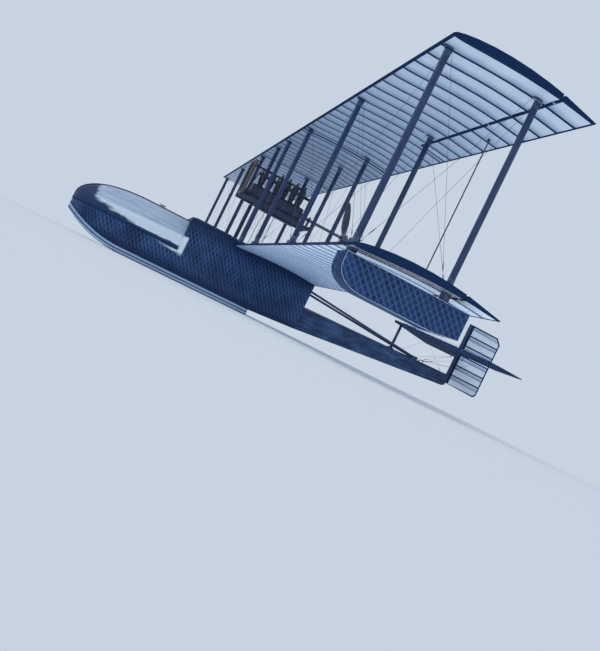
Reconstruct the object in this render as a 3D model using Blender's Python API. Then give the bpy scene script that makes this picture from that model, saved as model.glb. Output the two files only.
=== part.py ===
# Pusher biplane flying boat, about 1914: nose towards -Y, port side towards +X, +Z up.
# It stands on the flat planing bottom of its hull, with the floor at z = 0.
import math

import bmesh
import bpy
from mathutils import Vector

# Overall sizes in metres
LENGTH = 7.92
SPAN = 13.40
BOW_Y = -LENGTH / 2
HALF_SPAN = SPAN / 2
CHORD = 1.52
WING_LE_Y = BOW_Y + 2.55
WING_TE_Y = WING_LE_Y + CHORD
LOWER_Z = 0.95
UPPER_Z = 2.87

# Clearances
SEAT_GAP = 0.0003
HINGE_GAP = 0.007
SIDE_GAP = 0.008

# Wing section
CAMBER = 0.040
THICKNESS = 0.048
TE_THICKNESS = 0.008
SECTION_STEPS = 12
LIFT_T = 0.40
LIFT_PLATE_HALF = 0.060
LIFT_PLATE_RISE = 0.006

# Ailerons, with places measured from the wing's leading edge
HINGE_T = 0.76
HINGE_LOCAL_Y = HINGE_T * CHORD
HINGE_LOCAL_Z = CHORD * 4 * CAMBER * HINGE_T * (1 - HINGE_T)
NOSE_R = 0.021
SPAR_LOCAL_Y = HINGE_LOCAL_Y - NOSE_R - HINGE_GAP
AILERON_INNER_X = 3.60
AILERON_LUGS_X = (3.75, 5.35, 6.55)
LINK_X = 5.05
LINK_BACK = 0.19
LINK_DROP = 0.060
LINK_EYE_R = 0.014
LINK_PLATE = 0.016
LINK_ROD_R = 0.0075

# Hinge lugs
LUG_R = 0.010
LUG_WIDTH = 0.030
NOTCH_BACK = 0.018

# Struts
STRUT_CHORD = 0.070
STRUT_WIDTH = 0.029
STRUT_X = (1.80, 4.10, 6.45)
CENTRE_STRUT_X = 0.42
FRONT_STRUT_Y = WING_LE_Y + 0.085
REAR_STRUT_Y = WING_LE_Y + 1.04
PAD_WIDTH = 0.054
PAD_CHORD = 0.102
FRONT_PAD_TOP = 0.065
REAR_PAD_TOP = 0.098
FRONT_PAD_BOTTOM = -0.030
REAR_PAD_BOTTOM = 0.004
CENTRE_SECTION_X = 1.62
DECK_PAD_TOP_Z = 1.055

# Hull
BEAM = 0.96
HULL_W = BEAM / 2
WALL = 0.030
BOTTOM_Z = 0.012
RUNNER_W = 0.045
SHEER_BOW_Z = 0.48
SHEER_Z = 1.00
COCKPIT_FRONT_Y = -2.15
COCKPIT_BACK_Y = WING_LE_Y - 0.02
STEP_Y = WING_LE_Y + 0.68
STEP_TOP_Z = 0.10
TRANSOM_Y = WING_TE_Y
TRANSOM_BOTTOM_Z = 0.15
BOW_ROUND_Y = -3.40
BOW_RISE_Y = -3.00
BOW_RISE = 0.30
BOW_TIP_SHARE = 0.985
BOW_POCKET_Y = -2.95
BOW_STEPS = 8
KEEL_FRONT_Y = BOW_Y + 0.13
KEEL_HALF = 0.030
DECK_CROWN_Z = 0.985
DECK_ROUND_Y = -2.85
DECK_MID_Y = -2.50
DECK_STEPS = 14
CLEAT_PLATE = (0.05, -2.72, -2.60)
REAR_CROWN_Z = 1.08
FRAME_DEPTH = 0.025
FRAME_OPENING = ((-0.36, 0.38), (0.36, 0.38), (0.36, 0.70), (0.24, 0.90), (-0.24, 0.90), (-0.36, 0.70))
COAMING_HEIGHT = 0.045
COAMING_INNER_X = 0.405
COAMING_FRONT_BAR = 0.030
COAMING_BACK_BAR = 0.045
WELL_RISE = 0.033
FLOOR_TOP_Z = 0.075

# Cockpit
SEAT_HALF = 0.42
SEAT_FRONT_Y = -1.90
SEAT_BACK_Y = -1.53
SEAT_BOARD = 0.025
SEAT_Z = 0.36
BACKREST_TOP_Z = 0.93
BACKREST_TOP_Y = -1.480
CUSHION_HALF = 0.41
CUSHION_RISE = 0.085
COLUMN_FOOT = (0, -2.16)
COLUMN_HEAD = (0, -2.05, 0.78)
COLUMN_R = 0.014
COLUMN_HEAD_R = 0.022
FOOT_BAR_Y = -2.66
FOOT_BAR_Z = 0.185
FOOT_BAR_HALF = 0.32
FOOT_PIVOT_R = 0.022

# Slim tail hull
TAIL_FRONT_W = 0.40
TAIL_END_W = 0.05
TAIL_END_Y = 3.2047
TAIL_FRONT_BOTTOM_Z = TRANSOM_BOTTOM_Z
TAIL_END_BOTTOM_Z = 0.42
TAIL_FRONT_TOP_Z = 0.52
TAIL_END_TOP_Z = 0.62
TAIL_CROWN = 0.05
TAIL_FLOOR_SHARE = 0.86
TAIL_WALL = 0.028
TAIL_HOLLOW_END_Y = 2.70
BRACE_END_Y = 2.40
BRACE_FRONT = (0.36, 0.84)
BRACE_BACK_X = 0.10
BRACE_RX = 0.016
BRACE_RZ = 0.020
BRACE_BLOCK = (0.13, 0.10, 0.045)
STAB_STRUT_Y = 1.99
STAB_STRUT_FOOT = (0.035, 0.05, 0.015)

# Tail surfaces
STAB_Z = 1.08
STAB_APEX_Y = 1.85
STAB_HALF_SPAN = 1.30
STAB_THICK = 0.036
STAB_TIP_ROUND = (0.02, 0.05)
TAIL_NOSE_R = 0.013
ELEVATOR_Y = TAIL_END_Y + 0.006 + TAIL_NOSE_R
ELEVATOR_INNER_X = 0.045
ELEVATOR_CUT = math.radians(27)
ELEVATOR_ROOT_TE_Y = 3.86
TIP_TE_Y = -BOW_Y
ELEVATOR_LUGS_X = (0.24, 1.05)
POST_HALF = 0.020
POST_FRONT_Y = TAIL_END_Y + SEAT_GAP
POST_BACK_Y = 3.255
POST_BOTTOM_Z = 0.44
RUDDER_Y = POST_BACK_Y + 0.006 + TAIL_NOSE_R
RUDDER_TE_Y = 3.93
RUDDER_BOTTOM_Z = 0.47
RUDDER_TOP_Z = 1.66
RUDDER_LUGS_Z = (0.62, 1.50)

# Engine: upright water-cooled six, in the open between the wings
THRUST_Z = 1.93
ENGINE_FRONT_Y = -1.50
ENGINE_BACK_Y = -0.55
CYLINDERS = 6
CYLINDER_PITCH = 0.145
FIRST_CYLINDER_Y = (ENGINE_FRONT_Y + ENGINE_BACK_Y) / 2 - CYLINDER_PITCH * (CYLINDERS - 1) / 2
LAST_CYLINDER_Y = FIRST_CYLINDER_Y + CYLINDER_PITCH * (CYLINDERS - 1)
CYLINDER_R = 0.056
BARREL_R = 0.047
CYLINDER_SIDES = 16
CASE_TOP_Z = 2.04
JACKET_FOOT_Z = CASE_TOP_Z + 0.060
HEAD_TOP_Z = 2.34
PIPE_R = 0.017
PUSHROD_X = 0.098
PUSHROD_R = 0.007
ROCKER_TOP_Z = HEAD_TOP_Z + 0.055
INTAKE_X = 0.118
INTAKE_R = 0.024
INTAKE_Z = HEAD_TOP_Z - 0.125
CARBURETTOR_R = 0.040
MAGNETO_R = 0.045
FLANGE_R = 0.055
FLANGE_REACH = 0.05
EXHAUST_R = 0.026
EXHAUST_STUB_R = 0.016
EXHAUST_Z = HEAD_TOP_Z - 0.085
EXHAUST_END_Y = -0.42

# Engine bearers and radiator
RAIL_X = 0.17
RAIL_TOP_Z = 1.79
RAIL_DEPTH = 0.060
RAIL_WIDTH = 0.045
RAIL_FRONT_Y = ENGINE_FRONT_Y - 0.16
CROSS_HALF = 0.015
RADIATOR_HALF = 0.20
RADIATOR_DEPTH = 0.06
RADIATOR_TOP_Z = HEAD_TOP_Z + 0.05
FILLER_R = 0.028

# Propeller
SHAFT_R = 0.025
PROP_Y = 0.32
PROP_RADIUS = 1.05
PROP_TURN = math.radians(-45)
PROP_ADVANCE = 1.35
HUB_R = 0.085
HUB_HALF = 0.045
BLADE_SIDES = 12
BEARING_Y = REAR_STRUT_Y

# Tip floats
FLOAT_X = HALF_SPAN - 0.20
FLOAT_W = 0.30
FLOAT_TOP_Z = 0.885
FLOAT_BOTTOM_Z = 0.60
FLOAT_FRONT_Y = WING_LE_Y + 0.02
FLOAT_BACK_Y = WING_LE_Y + 1.26
FLOAT_PAD_Z = LOWER_Z - 0.030
FLOAT_NOSE_SQUARE = 0.10
FLOAT_NOSE_LENGTH = 0.26
FLOAT_HEEL = (0.25, 0.035)
FLOAT_NOSE_STEPS = 5


def clear_scene():
    """Remove whatever the scene holds."""
    for old in list(bpy.data.objects):
        bpy.data.objects.remove(old, do_unlink=True)


def make_material(name, colour, roughness, metallic=0.0):
    """Principled material with the finish of one kind of part."""
    material = bpy.data.materials.new(name)
    material.use_nodes = True
    shader = material.node_tree.nodes["Principled BSDF"]
    shader.inputs["Base Color"].default_value = (*colour, 1.0)
    shader.inputs["Roughness"].default_value = roughness
    shader.inputs["Metallic"].default_value = metallic
    material.diffuse_color = (*colour, 1.0)
    return material


def mesh_from(verts, faces):
    """Closed mesh with its faces turned outward."""
    bm = bmesh.new()
    made = [bm.verts.new(v) for v in verts]
    for face in faces:
        bm.faces.new([made[i] for i in face])
    bmesh.ops.recalc_face_normals(bm, faces=bm.faces)
    mesh = bpy.data.meshes.new("shape")
    bm.to_mesh(mesh)
    bm.free()
    return mesh


def loft(rings):
    """Skin equal rings of points in order and cap both ends."""
    count = len(rings[0])
    verts = [tuple(p) for ring in rings for p in ring]
    faces = []
    for k in range(len(rings) - 1):
        for i in range(count):
            j = (i + 1) % count
            faces.append((k * count + i, k * count + j, (k + 1) * count + j, (k + 1) * count + i))
    faces.append(tuple(range(count)))
    last = (len(rings) - 1) * count
    faces.append(tuple(last + i for i in reversed(range(count))))
    return mesh_from(verts, faces)


def along_x(outline, x0, x1):
    """Prism of a (y, z) outline between two x stations."""
    return loft([[(x, y, z) for y, z in outline] for x in (x0, x1)])


def along_y(outline, y0, y1):
    """Prism of an (x, z) outline between two y stations."""
    return loft([[(x, y, z) for x, z in outline] for y in (y0, y1)])


def along_z(outline, z0, z1):
    """Prism of an (x, y) outline between two heights."""
    return loft([[(x, y, z) for x, y in outline] for z in (z0, z1)])


def box(x0, x1, y0, y1, z0, z1):
    """Plain block between two corners."""
    return along_z([(x0, y0), (x1, y0), (x1, y1), (x0, y1)], z0, z1)


def ring(centre, radius, axis, sides, start=0.5):
    """Regular ring of points round an axis; start turns it by that share of a side."""
    turn = Vector((0, 0, 1)).rotation_difference(Vector(axis))
    points = []
    for i in range(sides):
        angle = 2 * math.pi * (i + start) / sides
        points.append(Vector(centre) + turn @ Vector((radius * math.cos(angle), radius * math.sin(angle), 0)))
    return points


def rod(p0, p1, radius, sides=12, start=0.5):
    """Straight round rod between two points."""
    axis = Vector(p1) - Vector(p0)
    return loft([ring(p0, radius, axis, sides, start), ring(p1, radius, axis, sides, start)])


def boolean(target, tool_mesh, operation):
    """Join a mesh to an object's mesh, or cut it away, and keep the result."""
    tool = bpy.data.objects.new("tool", tool_mesh)
    bpy.context.scene.collection.objects.link(tool)
    tool.matrix_world = target.matrix_world.copy()
    modifier = target.modifiers.new("shape", "BOOLEAN")
    modifier.operation = operation
    modifier.solver = "EXACT"
    modifier.object = tool
    bpy.context.view_layer.update()
    graph = bpy.context.evaluated_depsgraph_get()
    result = bpy.data.meshes.new_from_object(target.evaluated_get(graph))
    target.modifiers.clear()
    old = target.data
    target.data = result
    bpy.data.meshes.remove(old)
    bpy.data.objects.remove(tool, do_unlink=True)


def add(target, mesh):
    """Fuse a mesh to an object."""
    boolean(target, mesh, "UNION")


def cut(target, mesh):
    """Cut a mesh out of an object."""
    boolean(target, mesh, "DIFFERENCE")


def make_part(name, mesh, material, location=(0, 0, 0)):
    """Named object of one sub-part; its mesh is drawn round its own origin."""
    part = bpy.data.objects.new(name, mesh)
    bpy.context.scene.collection.objects.link(part)
    part.location = location
    part.data.materials.clear()
    part.data.materials.append(material)
    bpy.context.view_layer.update()
    return part


def finish_part(part, material, angle=35):
    """Give the finished mesh its material and smooth its round faces."""
    part.data.materials.clear()
    part.data.materials.append(material)
    part.data.shade_smooth()
    part.data.set_sharp_from_angle(angle=math.radians(angle))


def flip_x(outline, side):
    """Outline of (x, y) points for one side of the aircraft."""
    return [(side * x, y) for x, y in outline]


def side_name(side):
    """Word for one side: port is towards +X."""
    return "port" if side > 0 else "starboard"


def camber_at(t):
    """Height of the wing's mean line over its chord line, as a share of chord."""
    return 4 * CAMBER * t * (1 - t)


def half_thickness_at(t):
    """Half thickness of the wing section, as a share of chord."""
    shape = 0.2969 * math.sqrt(t) - 0.1260 * t - 0.3516 * t ** 2 + 0.2843 * t ** 3 - 0.1036 * t ** 4
    return 5 * THICKNESS * shape + 0.5 * TE_THICKNESS / CHORD * t


def wing_section():
    """Closed (y, z) outline of the wing from its leading edge at y = 0."""
    shares = [0.5 * (1 - math.cos(math.pi * i / SECTION_STEPS)) for i in range(SECTION_STEPS + 1)]
    lower = [(CHORD * t, CHORD * (camber_at(t) - half_thickness_at(t))) for t in shares]
    upper = [(CHORD * t, CHORD * (camber_at(t) + half_thickness_at(t))) for t in reversed(shares[1:])]
    return lower + upper


def lug_outline(reach):
    """Rounded lug in the plane across its hinge line, from its root to the line at (0, 0)."""
    arc = [-math.pi / 2 + math.pi * i / 6 for i in range(7)]
    tip = [(LUG_R * math.cos(a), LUG_R * math.sin(a)) for a in arc]
    return [(-reach, -LUG_R)] + tip + [(-reach, LUG_R)]


def strut_outline():
    """Streamlined (x, y) outline of a strut, blunt end forward, with flat sides."""
    half = STRUT_WIDTH / 2
    front = STRUT_CHORD * 0.38
    back = STRUT_CHORD - front
    return [
        (-half, -front * 0.45), (-half * 0.55, -front * 0.88), (0, -front), (half * 0.55, -front * 0.88),
        (half, -front * 0.45), (half, back * 0.20), (half * 0.55, back * 0.66), (0, back),
        (-half * 0.55, back * 0.66), (-half, back * 0.20),
    ]


def pad_mesh(x, y, z0, z1):
    """Oval socket block that takes a strut's end."""
    outline = []
    for i in range(12):
        angle = 2 * math.pi * (i + 0.5) / 12
        outline.append((x + PAD_WIDTH / 2 * math.cos(angle), y + PAD_CHORD / 2 * math.sin(angle)))
    return along_z(outline, z0, z1)


def strut_rows():
    """Front and rear strut stations: name, y and the pad heights on the two wings."""
    return (
        ("front", FRONT_STRUT_Y, FRONT_PAD_TOP, FRONT_PAD_BOTTOM),
        ("rear", REAR_STRUT_Y, REAR_PAD_TOP, REAR_PAD_BOTTOM),
    )


def add_pads(wing, stations, upper):
    """Fuse the strut sockets to a wing drawn from its leading edge at the origin."""
    for _, y, top, bottom in strut_rows():
        for x in stations:
            local_y = y - WING_LE_Y
            mid = CHORD * camber_at(local_y / CHORD)
            if upper:
                add(wing, pad_mesh(x, local_y, bottom, mid))
            else:
                add(wing, pad_mesh(x, local_y, mid, top))


def cut_aileron_bay(wing, side):
    """Cut the trailing part of the wing away where the aileron hangs, and add its lugs."""
    inner = AILERON_INNER_X - SIDE_GAP
    x0, x1 = sorted((side * inner, side * (HALF_SPAN + 0.1)))
    cut(wing, box(x0, x1, SPAR_LOCAL_Y, CHORD + 0.1, -0.2, 0.3))
    reach = HINGE_LOCAL_Y - SPAR_LOCAL_Y + 0.010
    for x in AILERON_LUGS_X:
        outline = [(HINGE_LOCAL_Y + a, HINGE_LOCAL_Z + b) for a, b in lug_outline(reach)]
        add(wing, along_x(outline, side * x - LUG_WIDTH / 2, side * x + LUG_WIDTH / 2))


def wing_panel(name, x_inner, side, height, material, stations, upper):
    """Outer wing panel from its root to the tip."""
    x0, x1 = sorted((side * x_inner, side * HALF_SPAN))
    wing = make_part(name, along_x(wing_section(), x0, x1), material, (0, WING_LE_Y, height))
    cut_aileron_bay(wing, side)
    add_pads(wing, [side * x for x in stations], upper)
    return wing


def build_wings(fabric):
    """Upper wing in three panels and lower wing in two."""
    centre = along_x(wing_section(), -CENTRE_SECTION_X, CENTRE_SECTION_X)
    middle = make_part("upper_wing_centre", centre, fabric, (0, WING_LE_Y, UPPER_Z))
    add_pads(middle, (-CENTRE_STRUT_X, CENTRE_STRUT_X), True)
    lift_y = LIFT_T * CHORD
    lift_z = CHORD * (camber_at(LIFT_T) + half_thickness_at(LIFT_T)) + LIFT_PLATE_RISE
    half = LIFT_PLATE_HALF
    add(middle, box(-half, half, lift_y - half, lift_y + half, lift_z - 0.03, lift_z))
    finish_part(middle, fabric)
    for side in (1, -1):
        root = CENTRE_SECTION_X + SEAT_GAP
        upper = wing_panel(f"upper_wing_{side_name(side)}", root, side, UPPER_Z, fabric, STRUT_X, True)
        finish_part(upper, fabric)
        root = HULL_W + SEAT_GAP
        lower = wing_panel(f"lower_wing_{side_name(side)}", root, side, LOWER_Z, fabric, STRUT_X, False)
        for y in (FRONT_STRUT_Y, REAR_STRUT_Y):
            local_y = y - WING_LE_Y
            mid = CHORD * camber_at(local_y / CHORD)
            add(lower, pad_mesh(side * FLOAT_X, local_y, FLOAT_PAD_Z - LOWER_Z, mid))
        finish_part(lower, fabric)


def aileron_outline():
    """Closed (y, z) outline of an aileron round its hinge line at (0, 0)."""
    te_y = CHORD - HINGE_LOCAL_Y
    te_z = -HINGE_LOCAL_Z
    nose = [math.pi / 2 + math.pi * i / 6 for i in range(7)]
    front = [(NOSE_R * math.cos(a), NOSE_R * math.sin(a)) for a in nose]
    half_te = TE_THICKNESS / 2
    return front + [(te_y, te_z - half_te), (te_y, te_z + half_te)]


def link_lug(x, up):
    """Plate that stands off an aileron and carries the link's pin."""
    sign = 1 if up else -1
    arc = [math.pi * i / 6 for i in range(7)]
    root_z = -0.012 if up else 0.008
    pin_z = sign * LINK_DROP
    tip = [(LINK_BACK + LINK_EYE_R * math.cos(a), pin_z + sign * LINK_EYE_R * math.sin(a)) for a in arc]
    outline = [(LINK_BACK - LINK_EYE_R, root_z), (LINK_BACK + LINK_EYE_R, root_z)] + tip
    return along_x(outline, x - LINK_PLATE / 2, x + LINK_PLATE / 2)


def build_aileron(level, side, height, fabric):
    """Aileron with the notches for its hinge lugs and the plate for its link."""
    x0, x1 = sorted((side * AILERON_INNER_X, side * HALF_SPAN))
    place = (0, WING_LE_Y + HINGE_LOCAL_Y, height + HINGE_LOCAL_Z)
    name = f"aileron_{level}_{side_name(side)}"
    aileron = make_part(name, along_x(aileron_outline(), x0, x1), fabric, place)
    half = LUG_WIDTH / 2 + SEAT_GAP
    for x in AILERON_LUGS_X:
        cut(aileron, box(side * x - half, side * x + half, -0.1, NOTCH_BACK, -0.1, 0.1))
    add(aileron, link_lug(side * LINK_X, level == "lower"))
    finish_part(aileron, fabric)
    return aileron


def build_aileron_link(side, metal):
    """Upright rod that ties the upper aileron to the lower one, drawn from its upper pin."""
    pin_y = WING_LE_Y + HINGE_LOCAL_Y + LINK_BACK
    top_z = UPPER_Z + HINGE_LOCAL_Z - LINK_DROP
    length = top_z - (LOWER_Z + HINGE_LOCAL_Z + LINK_DROP)
    x = side * (LINK_X + LINK_PLATE + SEAT_GAP)
    upright = rod((0, 0, 0), (0, 0, -length), LINK_ROD_R, 10)
    link = make_part(f"aileron_link_{side_name(side)}", upright, metal, (x, pin_y, top_z))
    for z in (0, -length):
        add(link, rod((-LINK_PLATE / 2, 0, z), (LINK_PLATE / 2, 0, z), LINK_EYE_R, 12))
    finish_part(link, metal)


def build_struts(wood):
    """Six struts a side between the wings and four centre struts down to the deck."""
    for row, y, top, bottom in strut_rows():
        foot_z = LOWER_Z + top + SEAT_GAP
        head_z = UPPER_Z + bottom - SEAT_GAP
        shape = along_z(strut_outline(), 0, head_z - foot_z)
        for side in (1, -1):
            for number, x in enumerate(STRUT_X, 1):
                name = f"strut_{row}_{side_name(side)}_{number}"
                finish_part(make_part(name, shape.copy(), wood, (side * x, y, foot_z)), wood)
        foot_z = DECK_PAD_TOP_Z + SEAT_GAP
        shape = along_z(strut_outline(), 0, head_z - foot_z)
        for side in (1, -1):
            name = f"centre_strut_{row}_{side_name(side)}"
            finish_part(make_part(name, shape.copy(), wood, (side * CENTRE_STRUT_X, y, foot_z)), wood)


def hull_half_width(y):
    """Half beam of the fore hull at a station."""
    if y >= BOW_ROUND_Y:
        return HULL_W
    share = BOW_TIP_SHARE * (BOW_ROUND_Y - y) / (BOW_ROUND_Y - BOW_Y)
    return HULL_W * math.sqrt(1 - share ** 2)


def hull_bottom(y):
    """Height of the planing bottom at a station ahead of the step."""
    if y >= BOW_RISE_Y:
        return 0.0
    return BOW_RISE * ((BOW_RISE_Y - y) / (BOW_RISE_Y - BOW_Y)) ** 2


def bow_stations(start_y):
    """Stations from the bow tip aft to a last one, close together where the bow is round."""
    length = BOW_ROUND_Y - BOW_Y
    round_part = [BOW_Y + length * (1 - math.cos(math.pi / 2 * i / BOW_STEPS)) for i in range(BOW_STEPS + 1)]
    middle = (BOW_ROUND_Y + BOW_RISE_Y) / 2
    return round_part + [middle, BOW_RISE_Y, start_y]


def build_fore_hull(navy):
    """Open-topped fore hull: bottom, sides, solid bow and transom."""
    rings = []
    for y in bow_stations(TRANSOM_Y):
        w = hull_half_width(y)
        z = hull_bottom(y) + BOTTOM_Z
        rings.append([(-w, y, z), (w, y, z), (w, y, SHEER_Z), (-w, y, SHEER_Z)])
    hull = make_part("hull_forebody", loft(rings), navy)
    cut(hull, box(-1, 1, BOW_Y - 1, COCKPIT_FRONT_Y, SHEER_BOW_Z, 2))
    past = TRANSOM_Y + 0.1
    wedge = [(STEP_Y, -1), (STEP_Y, STEP_TOP_Z), (past, TRANSOM_BOTTOM_Z + 0.006), (past, -1)]
    cut(hull, along_x(wedge, -1, 1))
    well_floor = BOTTOM_Z + WELL_RISE
    well = [
        (BOW_POCKET_Y, well_floor), (STEP_Y - 0.05, well_floor), (STEP_Y + 0.02, STEP_TOP_Z + 0.05),
        (TRANSOM_Y - 0.035, TRANSOM_BOTTOM_Z + 0.05), (TRANSOM_Y - 0.035, 2), (BOW_POCKET_Y, 2),
    ]
    inner = HULL_W - WALL
    cut(hull, along_x(well, -inner, inner))
    for side in (1, -1):
        x0, x1 = sorted((side * (HULL_W - RUNNER_W - 0.004), side * (HULL_W - 0.004)))
        add(hull, box(x0, x1, BOW_RISE_Y, STEP_Y - 0.004, 0, BOTTOM_Z + 0.01))
    finish_part(hull, navy)


def build_keel_strip(navy):
    """Flat strip along the middle of the planing bottom; it stops short of the bow."""
    rings = []
    stations = [KEEL_FRONT_Y] + [y for y in bow_stations(STEP_Y - 0.004) if y > KEEL_FRONT_Y + 0.02]
    for y in stations:
        w = min(KEEL_HALF, 0.5 * KEEL_HALF + 0.5 * (y - KEEL_FRONT_Y))
        z = hull_bottom(y)
        top = z + BOTTOM_Z - SEAT_GAP
        rings.append([(-w, y, z), (w, y, z), (w, y, top), (-w, y, top)])
    finish_part(make_part("keel_strip", loft(rings), navy), navy)


def crown_at(y):
    """Height of the fore deck's ridge at a station."""
    if y >= DECK_ROUND_Y:
        return DECK_CROWN_Z
    share = (DECK_ROUND_Y - y) / (DECK_ROUND_Y - BOW_Y)
    return SHEER_BOW_Z + 0.10 + (DECK_CROWN_Z - SHEER_BOW_Z - 0.10) * math.sqrt(max(0.0, 1 - share ** 2.2))


def deck_ring(y, inset, base_z):
    """Arched section of the fore deck, drawn in by an inset."""
    half = hull_half_width(y) - inset
    rise = crown_at(y) - inset - SHEER_BOW_Z
    points = []
    for i in range(DECK_STEPS + 1):
        angle = math.pi * i / DECK_STEPS
        c, s = math.cos(angle), math.sin(angle)
        x = half * math.copysign(abs(c) ** 0.75, c)
        points.append((x, y, base_z + rise * abs(s) ** 0.85 + (SHEER_BOW_Z - base_z) * abs(s)))
    return points


def build_bow_deck(navy):
    """Rounded turtle deck over the bow, hollow where the crew's feet reach under it."""
    base = SHEER_BOW_Z + SEAT_GAP
    stations = bow_stations(DECK_ROUND_Y)
    stations += [DECK_MID_Y, COCKPIT_FRONT_Y - FRAME_DEPTH - SEAT_GAP]
    deck = make_part("bow_deck", loft([deck_ring(y, 0, base) for y in stations]), navy)
    hollow = (BOW_POCKET_Y, DECK_ROUND_Y, DECK_MID_Y, COCKPIT_FRONT_Y + 0.1)
    cut(deck, loft([deck_ring(y, WALL, base - 0.1) for y in hollow]))
    half, front, back = CLEAT_PLATE
    cleat_z = DECK_CROWN_Z + 0.008
    add(deck, box(-half, half, front, back, cleat_z - 0.03, cleat_z))
    finish_part(deck, navy)


def build_cockpit_shell(navy):
    """Frame behind the bow deck, coaming round the cockpit and the deck under the wings."""
    back = COCKPIT_FRONT_Y
    front = back - FRAME_DEPTH
    panel = box(-HULL_W, HULL_W, front, back - SEAT_GAP, SHEER_BOW_Z + SEAT_GAP, SHEER_Z)
    frame = make_part("cockpit_frame", panel, navy)
    cut(frame, along_y(FRAME_OPENING, front - 0.1, back + 0.1))
    finish_part(frame, navy)

    rim = box(-HULL_W, HULL_W, front, COCKPIT_BACK_Y, SHEER_Z + SEAT_GAP, SHEER_Z + COAMING_HEIGHT)
    coaming = make_part("cockpit_coaming", rim, navy)
    hole_front = back + COAMING_FRONT_BAR
    hole_back = COCKPIT_BACK_Y - COAMING_BACK_BAR
    cut(coaming, box(-COAMING_INNER_X, COAMING_INNER_X, hole_front, hole_back, 0, 2))
    finish_part(coaming, navy)

    edge = 0.012
    arch = [(-HULL_W, SHEER_Z + SEAT_GAP)]
    for i in range(DECK_STEPS + 1):
        angle = math.pi * i / DECK_STEPS
        height = edge + (REAR_CROWN_Z - SHEER_Z - edge) * math.sin(angle)
        arch.append((-HULL_W * math.cos(angle), SHEER_Z + height))
    arch.append((HULL_W, SHEER_Z + SEAT_GAP))
    deck = make_part("rear_deck", along_y(arch, COCKPIT_BACK_Y + SEAT_GAP, TRANSOM_Y), navy)
    for y in (FRONT_STRUT_Y, REAR_STRUT_Y):
        for side in (1, -1):
            add(deck, pad_mesh(side * CENTRE_STRUT_X, y, SHEER_Z + 0.008, DECK_PAD_TOP_Z))
    finish_part(deck, navy)


def build_seat(wood, leather):
    """Cockpit floor, bench with a leaning back, and its cushion."""
    inner = HULL_W - WALL - SEAT_GAP
    floor_low = BOTTOM_Z + WELL_RISE + SEAT_GAP
    floor = box(-inner, inner, BOW_POCKET_Y + SEAT_GAP, COCKPIT_BACK_Y, floor_low, FLOOR_TOP_Z)
    finish_part(make_part("cockpit_floor", floor, wood), wood)

    base = FLOOR_TOP_Z + SEAT_GAP
    front, back, top = SEAT_FRONT_Y, SEAT_BACK_Y, SEAT_Z + SEAT_BOARD
    outline = [
        (front, base), (front + SEAT_BOARD, base), (front + SEAT_BOARD, SEAT_Z), (back, SEAT_Z),
        (back, base), (back + SEAT_BOARD, base), (BACKREST_TOP_Y + SEAT_BOARD, BACKREST_TOP_Z),
        (BACKREST_TOP_Y, BACKREST_TOP_Z), (back + 0.002, top), (front, top),
    ]
    finish_part(make_part("bench_seat", along_x(outline, -SEAT_HALF, SEAT_HALF), wood), wood)

    low = top + SEAT_GAP
    high = low + CUSHION_RISE
    outline = [
        (front, low), (back - 0.015, low), (back - 0.008, high - 0.010), (back - 0.040, high),
        (front + 0.030, high), (front, high - 0.025),
    ]
    cushion = make_part("seat_cushion", along_x(outline, -CUSHION_HALF, CUSHION_HALF), leather)
    finish_part(cushion, leather)


def build_controls(metal):
    """Control column and foot bar on one plate."""
    base = FLOOR_TOP_Z + SEAT_GAP
    foot = Vector((*COLUMN_FOOT, base + 0.01))
    head = Vector(COLUMN_HEAD)
    plate = box(-0.05, 0.05, FOOT_BAR_Y - 0.06, COLUMN_FOOT[1] + 0.06, base, base + 0.02)
    controls = make_part("cockpit_controls", plate, metal)
    add(controls, rod(foot, head, COLUMN_R, 10))
    along = (head - foot).normalized()
    add(controls, rod(head - 0.06 * along, head + 0.03 * along, COLUMN_HEAD_R, 10))
    bar = Vector((0, FOOT_BAR_Y, FOOT_BAR_Z))
    pivot_top = bar + Vector((0, 0, 0.015))
    add(controls, rod((0, FOOT_BAR_Y, base + 0.01), pivot_top, FOOT_PIVOT_R, 10))
    reach = Vector((FOOT_BAR_HALF, 0, 0))
    add(controls, rod(bar - reach, bar + reach, COLUMN_R, 10))
    finish_part(controls, metal)


def tail_share(y):
    """Share of the way along the slim tail hull."""
    return (y - TRANSOM_Y) / (TAIL_END_Y - TRANSOM_Y)


def tail_ring(y, inset):
    """Section of the slim tail hull with a crowned deck, drawn in by an inset."""
    share = tail_share(y)
    w = TAIL_FRONT_W + (TAIL_END_W - TAIL_FRONT_W) * share - inset
    low = TAIL_FRONT_BOTTOM_Z + (TAIL_END_BOTTOM_Z - TAIL_FRONT_BOTTOM_Z) * share + inset
    top = TAIL_FRONT_TOP_Z + (TAIL_END_TOP_Z - TAIL_FRONT_TOP_Z) * share - inset
    crown = TAIL_CROWN * (1 - 0.6 * share)
    points = [(-w * TAIL_FLOOR_SHARE, y, low), (w * TAIL_FLOOR_SHARE, y, low)]
    for i in range(7):
        angle = math.pi * i / 6
        points.append((w * math.cos(angle), y, top + crown * math.sin(angle)))
    return points


def deck_top(y):
    """Ridge height of the slim tail hull's deck."""
    share = tail_share(y)
    top = TAIL_FRONT_TOP_Z + (TAIL_END_TOP_Z - TAIL_FRONT_TOP_Z) * share
    return top + TAIL_CROWN * (1 - 0.6 * share)


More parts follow.
